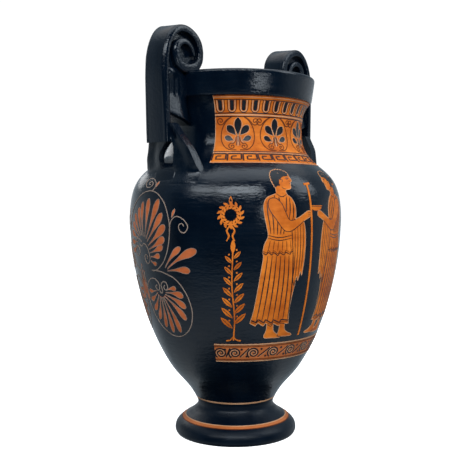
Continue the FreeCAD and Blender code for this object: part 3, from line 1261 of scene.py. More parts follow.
class Motif:
    """Shapes that the ornament is made of, in millimetres on a flat sheet."""

    blade = (
        (0.0, 0.10), (0.2, 0.16), (0.4, 0.32), (0.58, 0.66), (0.72, 0.96), (0.82, 1.0), (0.91, 0.84),
        (0.97, 0.5),
    )
    fine_step = 0.3
    run_step = 0.4
    shortest_run = 5
    wreath_leaves = 14

    @classmethod
    def club(cls, base: Point, tip: Point, width: float, bend: float = 0.0) -> list[Point]:
        """A palmette's leaf with a long stem, whose middle bends left by a share of its length."""
        curve = smooth_curve(cls.blade, 4)
        return cls._along(base, tip, [(t, 0.5 * width * w) for t, w in curve] + [(1.0, 0.0)], bend)

    @classmethod
    def leaf(cls, base: Point, tip: Point, width: float, fullness: float = 0.68,
             steps: int = 14) -> list[Point]:
        """Draws a pointed leaf.

        Args:
            base: its narrow end.
            tip: its tip.
            width: its greatest width.
            fullness: how far along it is widest.
            steps: how many points each edge gets.

        Returns:
            Its outline.
        """
        power = math.log(0.5) / math.log(fullness)
        shares = [i / steps for i in range(1, steps)]
        halves = [(t, 0.5 * width * math.sin(math.pi * t**power) ** 0.8) for t in shares]
        return cls._along(base, tip, [(0.0, 0.0)] + halves + [(1.0, 0.0)], 0.0)

    @staticmethod
    def _along(base: Point, tip: Point, halves: Sequence[Point], bend: float) -> list[Point]:
        """Draws both edges of a leaf.

        Args:
            base: its narrow end.
            tip: its tip.
            halves: its half widths, as (share of the length, half width) pairs.
            bend: how far its middle stands to the left, as a share of its length.

        Returns:
            Its outline.
        """
        length = math.dist(base, tip)
        along = ((tip[0] - base[0]) / length, (tip[1] - base[1]) / length)
        right: list[Point] = []
        left: list[Point] = []
        for t, w in halves:
            drift = bend * length * math.sin(math.pi * t)
            x = base[0] + along[0] * length * t - along[1] * drift
            y = base[1] + along[1] * length * t + along[0] * drift
            right.append((x + along[1] * w, y - along[0] * w))
            left.append((x - along[1] * w, y + along[0] * w))
        outline = right + left[::-1]
        return [p for i, p in enumerate(outline) if math.dist(p, outline[i - 1]) > 1e-6]

    @staticmethod
    def disc(centre: Point, radius: float, steps: int = 12) -> list[Point]:
        """A round dot."""
        return [polar(centre, radius, 2 * math.pi * k / steps) for k in range(steps)]

    @classmethod
    def scallops(cls, line: Sequence[Point], pitch: float, depth: float, offset: float = 0.0) -> list[Point]:
        """Turns a line into a row of small bows, like curls, on the right of its course.

        Args:
            line: the line.
            pitch: how long one bow is.
            depth: how far it swells.
            offset: how far the whole line moves to its right.

        Returns:
            The new line.
        """
        even = spread(line, cls.fine_step)
        last = len(even) - 1
        count = max(round(cls.fine_step * last / pitch), 1)
        swell = [abs(math.sin(math.pi * count * i / last)) for i in range(last + 1)]
        return [beside(even, i, offset + depth * share) for i, share in enumerate(swell)]

    @classmethod
    def wreath(cls, canvas: Canvas, centre: Point, radius: float) -> Drawing:
        """Draws a round wreath of small leaves.

        Args:
            canvas: the sheet that it is drawn on.
            centre: its middle.
            radius: the radius of its ring.

        Returns:
            Its leaves and its ring.
        """
        leaves: list[Patch] = []
        for k in range(cls.wreath_leaves):
            a = 2 * math.pi * k / cls.wreath_leaves
            for reach, turn in ((radius * 1.42, 0.34), (radius * 0.62, 0.5)):
                blade = cls.leaf(polar(centre, radius, a), polar(centre, reach, a + turn), 1.7, 0.5, 8)
                leaves.append(canvas.patch(blade, Tone.CLAY, 1 + k % 2))
        return leaves, [canvas.stroke(cls.disc(centre, radius, 30), 0.8, Tone.CLAY, closed=True)]

    @staticmethod
    def holds(shape: Sequence[Point], point: Point) -> bool:
        """Tests whether a point lies inside a shape.

        Args:
            shape: the shape.
            point: the point.

        Returns:
            Whether it does.
        """
        within = False
        for (ax, ay), (bx, by) in zip(shape, [*shape[1:], shape[0]]):
            if (ay > point[1]) != (by > point[1]) and point[0] < (bx - ax) * (point[1] - ay) / (by - ay) + ax:
                within = not within
        return within

    @classmethod
    def runs(cls, line: Sequence[Point], shapes: Sequence[Sequence[Point]],
             within: bool = False) -> list[list[Point]]:
        """Finds the stretches of a line that lie inside some of the shapes, or clear of them all.

        Args:
            line: the line.
            shapes: the shapes.
            within: whether the stretches inside are wanted.

        Returns:
            The stretches that are long enough to draw.
        """
        found: list[list[Point]] = [[]]
        for point in spread(line, cls.run_step):
            if any(cls.holds(shape, point) for shape in shapes) is within:
                found[-1].append(point)
            elif found[-1]:
                found.append([])
        return [run for run in found if len(run) >= cls.shortest_run]

    @staticmethod
    def spiral(centre: Point, radius: float, start: float, turns: float, hand: int = 1,
               steps: int = 36) -> list[Point]:
        """A spiral that winds in from a radius and an angle in degrees, to the left where its hand is 1."""
        ways = [(i / steps, hand * turns * 2 * math.pi * (i / steps)) for i in range(steps + 1)]
        return [polar(centre, radius * (1 - 0.86 * t), math.radians(start) + way) for t, way in ways]


@dataclass
class Field:
    """A painted field with straight sides, round a part of the wall."""

    painter: Painter
    name: str
    middle: float
    half_width: float
    low: float
    high: float

    @property
    def ends(self) -> Point:
        """The angles of its two sides."""
        return self.middle - self.half_width, self.middle + self.half_width

    def ground(self, tone: Tone) -> Patch:
        """The whole field, in one tone."""
        a, b = self.ends
        return Patch([(a, self.low), (b, self.low), (b, self.high), (a, self.high)], tone)

    def rules(self, rows: Iterable[tuple[float, float, Tone]]) -> list[Stroke]:
        """Lines right across the field, each given by its height, width and tone."""
        return [Stroke([(a, z) for a in self.ends], width, tone) for z, width, tone in rows]


@dataclass
class NeckPanel(Field):
    """The painted panel on the neck: tongues, palmettes and a meander."""

    half_width: float = 63.5
    low: float = 203.7
    high: float = 250.8
    lines: tuple[tuple[float, float, Tone], ...] = (
        (248.1, 0.60, Tone.GLAZE), (239.0, 0.70, Tone.GLAZE), (236.6, 0.70, Tone.GLAZE),
        (211.8, 0.60, Tone.GLAZE), (211.0, 0.45, Tone.TAN), (204.0, 0.50, Tone.TAN), (237.8, 0.80, Tone.TAN),
        (249.6, 0.50, Tone.TAN), (250.6, 0.45, Tone.BROWN),
    )
    tongues: int = 14
    tongue_top: float = 247.7
    palmettes: int = 4
    palmette_height: float = 224.0
    pitch: float = 31.5
    shift: float = 2.0
    leaves: tuple[tuple[Point, Point, float, float], ...] = (
        ((0, -1.4), (0, 12.2), 5, 0.64), ((-1.3, -0.6), (-7.7, 6.6), 4.7, 0.62),
        ((1.3, -0.6), (7.7, 6.6), 4.7, 0.62), ((-2.9, -4.4), (-9.4, -1.4), 3.7, 0.60),
        ((2.9, -4.4), (9.4, -1.4), 3.7, 0.60),
    )
    oval: Line = (
        (1.2, -11.8), (6.2, -11.3), (10, -7.6), (11.7, -1.8), (10.8, 4.6), (7.6, 9.8), (4.2, 12.5),
    )
    keys: int = 12
    key_low: float = 205.2
    key_rise: float = 5.0
    key: Line = ((0.04, 0.0), (0.04, 1.0), (0.92, 1.0), (0.92, 0.2), (0.30, 0.2), (0.30, 0.66), (0.62, 0.66))

    def tongue_band(self) -> Drawing:
        """Draws the row of tongues under the lip.

        Returns:
            The tongues and the lines round them.
        """
        drawing: Drawing = ([], [])
        pitch = 2 * self.half_width / self.tongues
        for i in range(self.tongues):
            middle = self.ends[0] + pitch * (i + 0.5)
            drawing[0].append(Patch(self._cup(middle, 1.55, 242.0, 1.4), Tone.GLAZE))
            drawing[1].append(Stroke(self._cup(middle, 2.35, 241.8, 1.9), 0.60, Tone.TAN))
            drawing[1].append(Stroke(self._cup(middle, 3.35, 242.4, 2.9), 0.60, Tone.BROWN))
        return drawing

    def _cup(self, middle: float, half: float, bottom: float, drop: float) -> list[Point]:
        """A U that hangs from the rule and curves from its bottom, with half its width given in degrees."""
        turns = map(math.radians, range(180, 361, 18))
        bowl = [(middle + half * math.cos(a), bottom + drop * math.sin(a)) for a in turns]
        return [(middle - half, self.tongue_top)] + bowl + [(middle + half, self.tongue_top)]

    def palmette(self, angle: float) -> Drawing:
        """Draws one enclosed palmette with its scrolls.

        Args:
            angle: the angle of its middle.

        Returns:
            Its leaves and its lines.
        """
        canvas = Canvas(angle, self.palmette_height)
        patches = [canvas.patch(Motif.leaf(b, t, w, f), Tone.GLAZE) for b, t, w, f in self.leaves]
        strokes = [canvas.stroke(Motif.leaf(b, t, w + 0.9, f), 0.30, Tone.TAN, closed=True)
                   for b, t, w, f in self.leaves]
        curls = (
            ([(0.55, -1.0), (0.75, -5.4), (1.3, -8.0)], 0.5, Tone.GLAZE),
            ([(0.0, -1.4), (0.12, -8.4)], 0.5, Tone.TAN),
            (smooth_curve([(1.9, -1.4), (2.5, -4.6), (4.6, -6.3)], 6), 0.45, Tone.TAN),
            (smooth_curve([(1.4, -2.0), (1.9, -5.2), (3.6, -6.9)], 6), 0.45, Tone.BROWN),
            (Motif.spiral((4.0, -8.8), 2.7, 120, 1.5, -1), 0.66, Tone.BROWN),
            (smooth_curve(self.oval, 6), 0.66, Tone.BROWN),
            (smooth_curve([(4.2, 12.5), (7.8, 10.4), (10.6, 7.2)], 5), 0.66, Tone.BROWN),
            (Motif.spiral((12.2, 9.5), 2.8, -120, 1.4, 1), 0.66, Tone.BROWN),
        )
        for mirror in (-1, 1):
            for line, width, tone in curls:
                strokes.append(canvas.stroke([(x * mirror, y) for x, y in line], width, tone))
        return patches, strokes

    def meander(self) -> list[Stroke]:
        """Draws the running key under the palmettes.

        Returns:
            Its lines.
        """
        strokes: list[Stroke] = []
        pitch = 2 * self.half_width / self.keys
        for i in range(self.keys):
            start = self.ends[0] + pitch * i
            line = [(start + u * pitch, self.key_low + v * self.key_rise) for u, v in self.key]
            strokes += [Stroke(line, 1.2, Tone.BROWN), Stroke(line, 0.7, Tone.GLAZE)]
        return strokes

    def build(self) -> None:
        """Paints the panel."""
        self.painter.patches(self.name + "_ground", [self.ground(Tone.CLAY)])
        shapes, lines = self.tongue_band()
        for i in range(self.palmettes):
            place = self.middle + self.shift + self.pitch * (i - (self.palmettes - 1) / 2)
            more_shapes, more_lines = self.palmette(place)
            shapes += more_shapes
            lines += more_lines
        self.painter.patches(self.name + "_ornament", shapes)
        a, b = self.ends
        sides = [Stroke([(x, self.low), (x, self.high)], 0.45, Tone.TAN) for x in (a + 0.2, b - 0.2)]
        self.painter.strokes(self.name + "_lines", lines + self.rules(self.lines) + sides + self.meander())


@dataclass
class SpiralBand(Field):
    """The band of running spirals under the figures."""

    half_width: float = 61.0
    low: float = 64.6
    high: float = 78.2
    places: tuple[float, ...] = (-57.0, -47.6, -35.2, -21.0, -6.4, 8.5, 23.0, 38.0, 52.5)
    borders: tuple[tuple[float, float, Tone], ...] = (
        (2.0, 0.6, Tone.BROWN), (0.4, 0.8, Tone.TAN), (1.05, 0.4, Tone.BROWN),
    )

    def build(self) -> None:
        """Paints the band."""
        self.painter.patches(self.name + "_ground", [self.ground(Tone.SIENNA)])
        middle = (self.low + self.high) / 2
        strokes: list[Stroke] = []
        for inset, width, tone in self.borders:
            strokes += self.rules((z, width, tone) for z in (self.low + inset, self.high - inset))
        shapes: list[Patch] = []
        for i, place in enumerate(self.places):
            canvas = Canvas(self.middle + place, middle)
            strokes.append(canvas.stroke(Motif.spiral((0.0, 0.0), 4.6, 235, 2.0, -1, 48), 1.0))
            strokes.append(canvas.stroke(Motif.spiral((0.0, 0.0), 3.5, 225, 1.8, -1, 48), 0.45, Tone.TAN))
            if i + 1 == len(self.places):
                continue
            gap = math.radians(self.places[i + 1] - place) * WALL.radius(middle)
            link = smooth_curve([(3.6, -3.4), (gap * 0.5, 0.1), (gap - 3.4, 4.0)], 6)
            strokes.append(canvas.stroke(link, 0.9))
            strokes.append(canvas.stroke([(x + 0.9, y + 0.1) for x, y in link], 0.4, Tone.TAN))
            for spot in ((gap * 0.5 - 1.9, 3.0), (gap * 0.5 + 1.9, -3.0)):
                shapes.append(canvas.patch(Motif.disc(spot, 0.9, 10), Tone.GLAZE))
        self.painter.patches(self.name + "_dots", shapes)
        self.painter.strokes(self.name + "_lines", strokes)


@dataclass
class SidePalmettes:
    """The tall ornament of palmettes and tendrils under one handle, drawn for the left one."""

    painter: Painter
    side: Side
    angle: float = 98.3
    height: float = 142.5
    line: float = 0.62
    edge: float = 0.30
    axis: float = -13.5
    fan_axis: float = -6.0
    bud_axis: float = -4.4
    upper: tuple[Leaf, ...] = (
        ((-3.2, 9.2), (1.8, 37.1), 4.6), ((-1.6, 8.2), (12.7, 36.5), 5.2), ((-0.6, 6.2), (16.7, 26.7), 4.8),
        ((0.4, 3.4), (19.2, 18.4), 5.4), ((1.5, 1), (18.3, 9.6), 5.2), ((2.4, -1.5), (16.3, 3.8), 4.4),
        ((2.6, -4.3), (12.7, -3), 3.8), ((2, -7.2), (8.4, -9.5), 3), ((-5.2, 9.8), (-5.9, 34.7), 4.2),
        ((-7.3, 10.4), (-11.3, 30.7), 4.2), ((-9.6, 10.4), (-18.2, 26.3), 4.4),
        ((-11.6, 9.8), (-22.6, 19.8), 4.4), ((-13.4, 8.4), (-26.2, 13), 4.4), ((-15, 6), (-27.6, 5.6), 4.2),
        ((-16.2, 3), (-26.6, -1.8), 3.8),
    )
    lower: tuple[Leaf, ...] = (
        ((14.8, -27.8), (24.6, -25.9), 3.3), ((13.6, -29.6), (30.3, -31.3), 4.6),
        ((12.6, -31), (31.3, -39.8), 4.7), ((11.4, -32.2), (29.9, -49), 4.7),
        ((10.2, -33), (21.5, -59.4), 4.5), ((8.9, -33.4), (12.6, -60.4), 4.2), ((7.5, -33.3), (4.6, -57), 4),
        ((6.2, -32.8), (-1.8, -51.2), 3.9), ((5, -31.8), (-5.3, -44.2), 3.8), ((4, -30.4), (-7, -36.6), 3.6),
        ((3.2, -28.8), (-7.2, -29.6), 3),
    )
    fan: tuple[Leaf, ...] = (
        ((17, -11.4), (31.6, 3.6), 4.2), ((19, -12.1), (43.8, 2), 5.8), ((18.8, -13.6), (38.2, -12.7), 4.8),
    )
    hanging: tuple[Leaf, ...] = (
        ((-13.4, -10.5), (-14.4, -33), 4.8), ((-10.6, -15), (-10.8, -37.5), 3.4),
        ((-16.8, -15), (-18.2, -36.5), 3.4),
    )
    right_oval: Line = (
        (-3.5, 41.9), (3.5, 42.3), (11.2, 39.8), (18.2, 33.6), (22.2, 24.5), (23.4, 16.2), (22.1, 6.3),
        (19.4, -1.5), (15.4, -7.9), (9.3, -12.6), (3.4, -14.6),
    )
    left_oval: Line = (
        (-3.5, 41.9), (-10.2, 39.6), (-18.4, 34), (-25.6, 26), (-30.4, 15.4), (-31.4, 5), (-29, -5),
        (-24.4, -12), (-18.6, -14.6),
    )
    scroll: Line = (
        (4.2, 42.6), (6, 45), (5.6, 48.2), (1.2, 51.4), (-4.4, 52), (-7.8, 49.8), (-6.8, 46.6), (-3.4, 44.9),
        (0.4, 45.3), (2.2, 47.4), (0.2, 49.3), (-2.6, 48.8), (-2.4, 47.2), (-0.4, 47.2),
    )
    tendril: Line = (
        (23.2, 13), (23.4, 17.3), (25.1, 21.9), (29.2, 24.6), (34.4, 22.6), (37.9, 18), (35.6, 13.6),
        (32, 14.6), (30.9, 18.2), (33.4, 19.9), (34.9, 17.8),
    )
    lower_oval: Line = (
        (1.6, -14), (7.6, -14), (14.4, -15), (25.4, -19.4), (33.2, -29.6), (36.2, -42.6), (32.6, -54),
        (24, -61.2), (13.4, -63), (3, -59.6), (-5.2, -52.6), (-9.6, -43), (-10.6, -33.6), (-8, -25.4),
        (-2, -20.6), (3.6, -20.2), (7.6, -23.4), (7.4, -27.6), (4.4, -28.4), (3.2, -25.8), (5, -24.6),
    )
    lower_eye: Line = (
        (7.4, -28.6), (9, -30.6), (10.6, -28.6), (10, -24.4), (12.6, -21.6), (15.8, -22.4), (16.6, -26),
        (14, -27.8), (12.4, -25.8), (13.8, -24.4),
    )
    heart: Line = (
        (-8.4, 6), (-12.4, 8), (-17.4, 7), (-21, 2), (-20, -3.4), (-15.6, -4.6), (-12.6, -1.6), (-14, 2.2),
        (-17, 1.4),
    )
    heart_right: Line = (
        (-12, 4.4), (-8.6, 2.6), (-5.2, 5), (-1.6, 2.8), (0.8, -1.6), (1.2, -6.4), (-1.6, -9.4), (-5, -8),
        (-5.6, -4.6), (-3.2, -3), (-1.4, -5), (-2.8, -6.2),
    )

    @staticmethod
    def mirror(points: Iterable[Point], axis: float) -> list[Point]:
        """The points on the other side of an upright axis."""
        return [(2 * axis - x, y) for x, y in points]

    def leaves(self) -> list[list[Point]]:
        """Draws every leaf, in the order in which they are painted.

        Returns:
            Their outlines.
        """
        shapes = [Motif.club(b, t, w, 0.03 if t[0] < b[0] else -0.03) for b, t, w in self.upper]
        low = [Motif.club(b, t, w, 0.05) for b, t, w in self.lower]
        fan = [Motif.club(b, t, w, 0.04) for b, t, w in self.fan]
        bud = Motif.leaf((25.1, 23.4), (27.7, 29.8), 1.9, 0.6)
        shapes += low + fan + [bud, Motif.leaf((6.7, 44.7), (9.0, 49.6), 1.7, 0.6)]
        for leaves, axis in ((low, self.axis), (fan, self.fan_axis), ([bud], self.bud_axis)):
            shapes += [self.mirror(leaf, axis) for leaf in leaves]
        return shapes + [Motif.club(b, t, w) for b, t, w in self.hanging]

    def tendrils(self) -> list[list[Point]]:
        """Every line of the ornament."""
        lines = (
            self.right_oval, self.left_oval, self.scroll,
            self.tendril, self.mirror(self.tendril, self.bud_axis),
            self.lower_oval, self.mirror(self.lower_oval, self.axis),
            self.lower_eye, self.mirror(self.lower_eye, self.axis), self.heart, self.heart_right,
        )
        return [smooth_curve(line, 7) for line in lines]

    def build(self) -> None:
        """Paints the ornament."""
        canvas = Canvas(self.side.value * self.angle, self.height, self.side is Side.RIGHT)
        leaves = self.leaves()
        fills = [canvas.patch(leaf, Tone.RUST, i % 4) for i, leaf in enumerate(leaves)]
        strokes = [canvas.stroke(line, self.line, Tone.ASH) for line in self.tendrils()]
        strokes += [canvas.stroke(leaf, self.edge, Tone.ASH, closed=True) for leaf in leaves]
        self.painter.patches("palmette_leaves_" + self.side.word, fills)
        self.painter.strokes("palmette_lines_" + self.side.word, strokes)


@dataclass
class DrapedFigure:
    """A calm standing figure in a long belted robe, drawn facing right."""

    painter: Painter
    name: str
    angle: float
    flip: bool = False
    hair: Hair = Hair.CROPPED
    gift: Gift = Gift.STAFF
    size: float = 1.05
    sole: float = 3.0
    body: Line = (
        (-2.9, 103), (-3.4, 100.6), (-6.6, 99.4), (-10.2, 97.4), (-12.2, 92.6), (-11.6, 85.6), (-10, 78.4),
        (-9.2, 73), (-11.4, 68), (-12.4, 62.4), (-11.8, 59.6), (-13, 48), (-14.2, 34), (-15.2, 23),
        (-16.6, 14.5),
    )
    hem: Line = (
        (-16.6, 14.5), (-12.6, 12.4), (-11.4, 14.8), (-7.2, 12), (-6.2, 14.4), (-1.8, 11.6), (-0.6, 14),
        (4, 11.6), (5, 13.8), (11.2, 12.8),
    )
    front: Line = (
        (11.2, 12.8), (10.4, 22), (11.4, 34), (13, 45), (11.8, 55), (11, 60), (11.6, 62.4), (10.4, 68),
        (8.4, 73), (9.6, 80), (10.8, 87), (10.2, 93), (7.6, 97.8), (4.6, 100.2), (3.8, 103),
    )
    visage: Line = (
        (-3, 101.5), (-3.6, 98.6), (3.4, 98.6), (3.6, 101.2), (4.4, 103.1), (6.4, 103.3), (7.9, 103.9),
        (8.5, 105), (8.1, 106), (8.7, 106.7), (8.2, 107.3), (8.9, 107.9), (8.6, 108.6), (10, 109.4),
        (8.9, 112.2), (8.4, 114),
    )
    skull: Line = (
        (8.2, 114.4), (7.2, 116.6), (4.2, 118.4), (0.2, 118.7), (-3, 117.2), (-4.8, 114.2), (-5, 110.4),
        (-4.2, 107), (-3, 104.6),
    )
    hairline: Line = (
        (-2.2, 105.2), (-0.6, 106.4), (0.2, 108.2), (0.6, 110.4), (1.5, 112.3), (3.4, 113.6), (5.6, 113.9),
        (7.4, 114.2),
    )
    curls: Line = (
        (7.2, 114.3), (5.9, 113.7), (4.5, 113.7), (3.2, 113), (2, 112.2), (1.2, 111), (-0.4, 106.5),
    )
    arm: Line = (
        (-8.2, 96.8), (-3.8, 97.6), (0.4, 94), (3.2, 88), (6.4, 83.2), (12, 84.6), (17, 87.2), (20, 89),
        (22.6, 89.4), (23.8, 88), (23.4, 85.8), (21.2, 84.6), (17.8, 83), (12.6, 79.4), (8, 76.6), (3.8, 76),
        (0.2, 78.6), (-3.8, 84), (-7, 88), (-9, 92.4),
    )
    cloth: Line = (
        (7.6, 77.6), (12.4, 80.4), (16.4, 83), (18.4, 78), (19.2, 68), (18.8, 57), (17.6, 46.2), (16.2, 49.6),
        (14.6, 42.8), (13.6, 46.6), (11.8, 39.6), (10.6, 44), (9.6, 58),
    )
    near_foot: Line = (
        (-4.6, 15), (-4.8, 9), (-5.8, 5.2), (-5.2, 3.2), (0, 3), (5.8, 3), (6.6, 4.2), (3.4, 5.8), (0.4, 8.6),
        (-0.8, 15),
    )
    far_foot: Line = (
        (4.8, 15), (4.6, 9.4), (4, 5.8), (4.6, 3.9), (9.6, 3.6), (14.6, 3.6), (15.5, 4.8), (11.8, 6.4),
        (8.8, 9.2), (8, 15),
    )
    belt: tuple[Line, ...] = (
        ((-9.2, 73.8), (-1, 72.2), (8.6, 73.8)), ((-9.4, 72), (-1, 70.4), (8.8, 72)),
    )
    overfold: Line = (
        (-12.4, 62.6), (-9.8, 61), (-8.8, 63), (-6, 60.8), (-5, 62.8), (-1.8, 60.4), (-0.8, 62.6),
        (2.6, 60.6), (3.6, 62.8), (7, 61), (8, 63), (11.5, 62.4),
    )
    chest: tuple[Line, ...] = (
        ((-9.8, 95.6), (-9.4, 87), (-8, 79.5), (-7.4, 74.6)),
        ((-7.4, 98.6), (-6.6, 89), (-5.6, 81), (-5.2, 74.4)),
        ((-4.6, 99.6), (-3.4, 90), (-2.8, 82), (-2.8, 74.2)),
        ((-1.6, 98.4), (0.2, 90), (0, 82), (-0.6, 74.2)), ((4, 98.6), (3.4, 90), (2.4, 82), (1.6, 74.2)),
        ((6.2, 97.8), (6.4, 90), (5.2, 82), (3.8, 74.4)), ((8.6, 95), (8.9, 88), (7.8, 81), (6, 74.6)),
    )
    neckline: Line = ((-3.2, 100.8), (0.6, 98.4), (4.4, 100.2))
    falls: tuple[Line, ...] = (
        ((16.6, 81), (17.2, 66), (16.5, 51)), ((14.4, 80.4), (15, 64), (14.5, 45.4)),
        ((12.2, 79), (12.8, 62), (12, 42.6)), ((10, 78), (10.8, 60), (10.6, 45.6)),
    )
    features: tuple[tuple[Line, float], ...] = (
        (((5.2, 111.2), (6.4, 111.9), (7.8, 111.4)), 0.42),
        (((5.5, 110.9), (6.6, 110.6), (7.7, 111.1)), 0.34), (((6.6, 111.6), (6.7, 110.8)), 0.5),
        (((5, 113), (6.6, 113.4), (8.2, 112.9)), 0.36), (((8.3, 107.3), (7.2, 107.1)), 0.38),
        (((8.6, 108.9), (7.9, 109.2), (7.8, 109.8)), 0.34),
        (((1.8, 110.2), (2.7, 110.7), (2.9, 109.4), (2.2, 108.4)), 0.38),
        (((1.4, 105), (2.8, 104), (4.4, 103.6)), 0.34),
    )
    ribbon: Line = ((7.7, 115.6), (3.4, 115.9), (-1.2, 114.6), (-5.4, 111.6))
    bowl: Line = ((18.6, 92.8), (20.2, 90.4), (22.8, 89.4), (26.8, 89.4), (29.4, 90.4), (31.0, 92.8))
    staff_knots: tuple[float, ...] = (14, 27, 40, 53, 66, 79, 98)
    finger_rises: tuple[float, ...] = (0.0, 1.1, 2.2)

    @property
    def sheet(self) -> Canvas:
        """The sheet that the figure is drawn on, at its size."""
        return Canvas(self.angle, GROUND_LINE, self.flip, True, self.size, self.sole)

    def brush(self, lines: Iterable[Sequence[Point]], shapes: Sequence[Sequence[Point]], width: float,
              tone: Tone = Tone.GLAZE, taper: bool = False, within: bool = False) -> list[Stroke]:
        """Strokes along lines, where they are clear of some shapes or, if so wished, within them."""
        runs = (run for line in lines for run in Motif.runs(line, shapes, within))
        return [self.sheet.stroke(run, width, tone, taper) for run in runs]

    def shapes(self) -> dict[str, list[Point]]:
        """The outlines of the filled shapes by name, from the back to the front."""
        return {
            "near_foot": smooth_curve(self.near_foot, 3, True),
            "far_foot": smooth_curve(self.far_foot, 3, True),
            "body": smooth_curve(self.body, 4)[:-1] + list(self.hem)[:-1] + smooth_curve(self.front, 4),
            "cloth": smooth_curve(self.cloth[:7], 4)[:-1] + list(self.cloth[6:]),
            "head": smooth_curve(self.visage, 3) + Motif.scallops(smooth_curve(self.skull, 6), 2.1, 0.6),
            "arm": smooth_curve(self.arm, 3, True),
        }

    def outlines(self, shapes: dict[str, list[Point]]) -> list[Stroke]:
        """Draws a line round every shape: pale against the glaze, dark where one shape covers another.

        Args:
            shapes: the shapes by name, from the back to the front.

        Returns:
            The strokes.
        """
        strokes: list[Stroke] = []
        names = list(shapes)
        for i, name in enumerate(names):
            line = shapes[name] + shapes[name][:1]
            under = [shapes[other] for other in names[:i]]
            over = [shapes[other] for other in names[i + 1:]]
            strokes += self.brush([line], under + over, 0.34, Tone.TAN)
            if name != "head":
                strokes += self.brush(Motif.runs(line, under, True), over, 0.52)
        return strokes

    def folds(self, arm: Sequence[Point], cloth: Sequence[Point]) -> list[Stroke]:
        """Draws the folds of the robe, left out where the arm or the hanging cloth covers them.

        Args:
            arm: the outline of the arm.
            cloth: the outline of the cloth.

        Returns:
            The strokes.
        """
        pleat = ((-8.8, 3.0, 60.4), (-10.2, 3.4, 44.0), (-11.4, 3.6, 28.0), (-12.4, 3.75, 16.4))
        pleats = [[(x + step * k, y) for x, step, y in pleat] for k in range(7)]
        drops = [((-7.6 + 2.9 * k, 70.2), (-8.8 + 3.3 * k, 63.6)) for k in range(6)]
        strokes: list[Stroke] = []
        for lines, width, tone in (
            (self.chest, 0.66, Tone.GLAZE), (pleats, 0.78, Tone.GLAZE), (drops, 0.45, Tone.BROWN),
            (self.belt, 0.55, Tone.GLAZE), ((self.neckline,), 0.55, Tone.GLAZE),
        ):
            strokes += self.brush((smooth_curve(line, 6) for line in lines), (arm, cloth), width, tone, True)
        strokes += self.brush([self.overfold], (arm, cloth), 0.62)
        strokes += self.brush([[(x, y + 1.2) for x, y in self.overfold]], (arm, cloth), 0.36, Tone.BROWN)
        return strokes + self.brush((smooth_curve(line, 6) for line in self.falls), (arm,), 0.5, taper=True)

    def face(self) -> list[Stroke]:
        """Draws the lines of the face, a plain profile, with the ribbon and the waves of the hair.

        Returns:
            The strokes.
        """
        sheet = self.sheet
        strokes = [sheet.stroke(smooth_curve(line, 5), width) for line, width in self.features]
        strokes.append(sheet.stroke(smooth_curve(self.ribbon, 6), 0.6, Tone.TAN))
        for inset in (1.6, 3.0):
            wave = Motif.scallops(smooth_curve(self.skull, 6)[3:-6], 2.3, 0.9, -inset)
            strokes.append(sheet.stroke(wave, 0.42, Tone.TAN))
        return strokes

    def held(self) -> Drawing:
        """Draws what the hand holds.

        Returns:
            Its shapes and its lines.
        """
        sheet = self.sheet
        if self.gift is Gift.STAFF:
            strokes = [sheet.stroke([(22.4, 3.0), (22.0, 107.0)], 1.5, Tone.CLAY),
                       sheet.stroke([(19.4, 107.2), (24.6, 107.8)], 1.7, Tone.CLAY)]
            strokes += [sheet.stroke([(21.3, y), (23.1, y + 0.4)], 0.6) for y in self.staff_knots]
            for rise in self.finger_rises:
                strokes.append(sheet.stroke([(20.8, 85.8 + rise), (23.6, 85.9 + rise)], 0.3))
            return [], strokes
        if self.gift is Gift.BOWL:
            return [sheet.patch(self.bowl, Tone.CLAY, 3)], [sheet.stroke([(19.2, 92.1), (30.4, 92.1)], 0.4)]
        return Motif.wreath(Canvas(self.angle, GROUND_LINE, self.flip, True), (30.0, 93.4), 6.2)

    def hem_lines(self, body: Sequence[Point]) -> list[Stroke]:
        """Draws the dark border that follows the hem.

        Args:
            body: the outline of the robe.

        Returns:
            The strokes.
        """
        strokes: list[Stroke] = []
        for rise, width, tone in ((2.6, 0.9, Tone.GLAZE), (1.3, 0.36, Tone.BROWN)):
            strokes += self.brush([[(x, y + rise) for x, y in self.hem]], [body], width, tone, within=True)
        return strokes

    def hair_shapes(self) -> list[Patch]:
        """Draws the dark hair with its curls, and the knot if it has one.

        Returns:
            The shapes.
        """
        sheet = self.sheet
        hair = Motif.scallops(smooth_curve(self.skull, 6), 2.1, 0.6, -0.4) + smooth_curve(self.hairline, 4)
        patches = [sheet.patch(hair, Tone.GLAZE, 3)]
        for k, curl in enumerate(self.curls):
            patches.append(sheet.patch(Motif.disc(curl, 0.85, 10), Tone.GLAZE, 4 + k % 2))
        if self.hair is Hair.KNOT:
            patches.append(sheet.patch(Motif.disc((-7.2, 110.8), 3.5, 16), Tone.CLAY, 6))
            patches.append(sheet.patch(Motif.disc((-7.3, 110.9), 2.9, 16), Tone.GLAZE, 6))
        return patches

    def build(self) -> None:
        """Paints the figure."""
        shapes = self.shapes()
        sheet = self.sheet
        patches = [sheet.patch(outline, Tone.CLAY, level) for level, outline in enumerate(shapes.values())]
        held_shapes, held_lines = self.held()
        self.painter.patches(self.name + "_shapes", patches + self.hair_shapes() + held_shapes)
        strokes = self.outlines(shapes) + self.folds(shapes["arm"], shapes["cloth"]) + self.face()
        self.painter.strokes(self.name + "_lines", strokes + self.hem_lines(shapes["body"]) + held_lines)


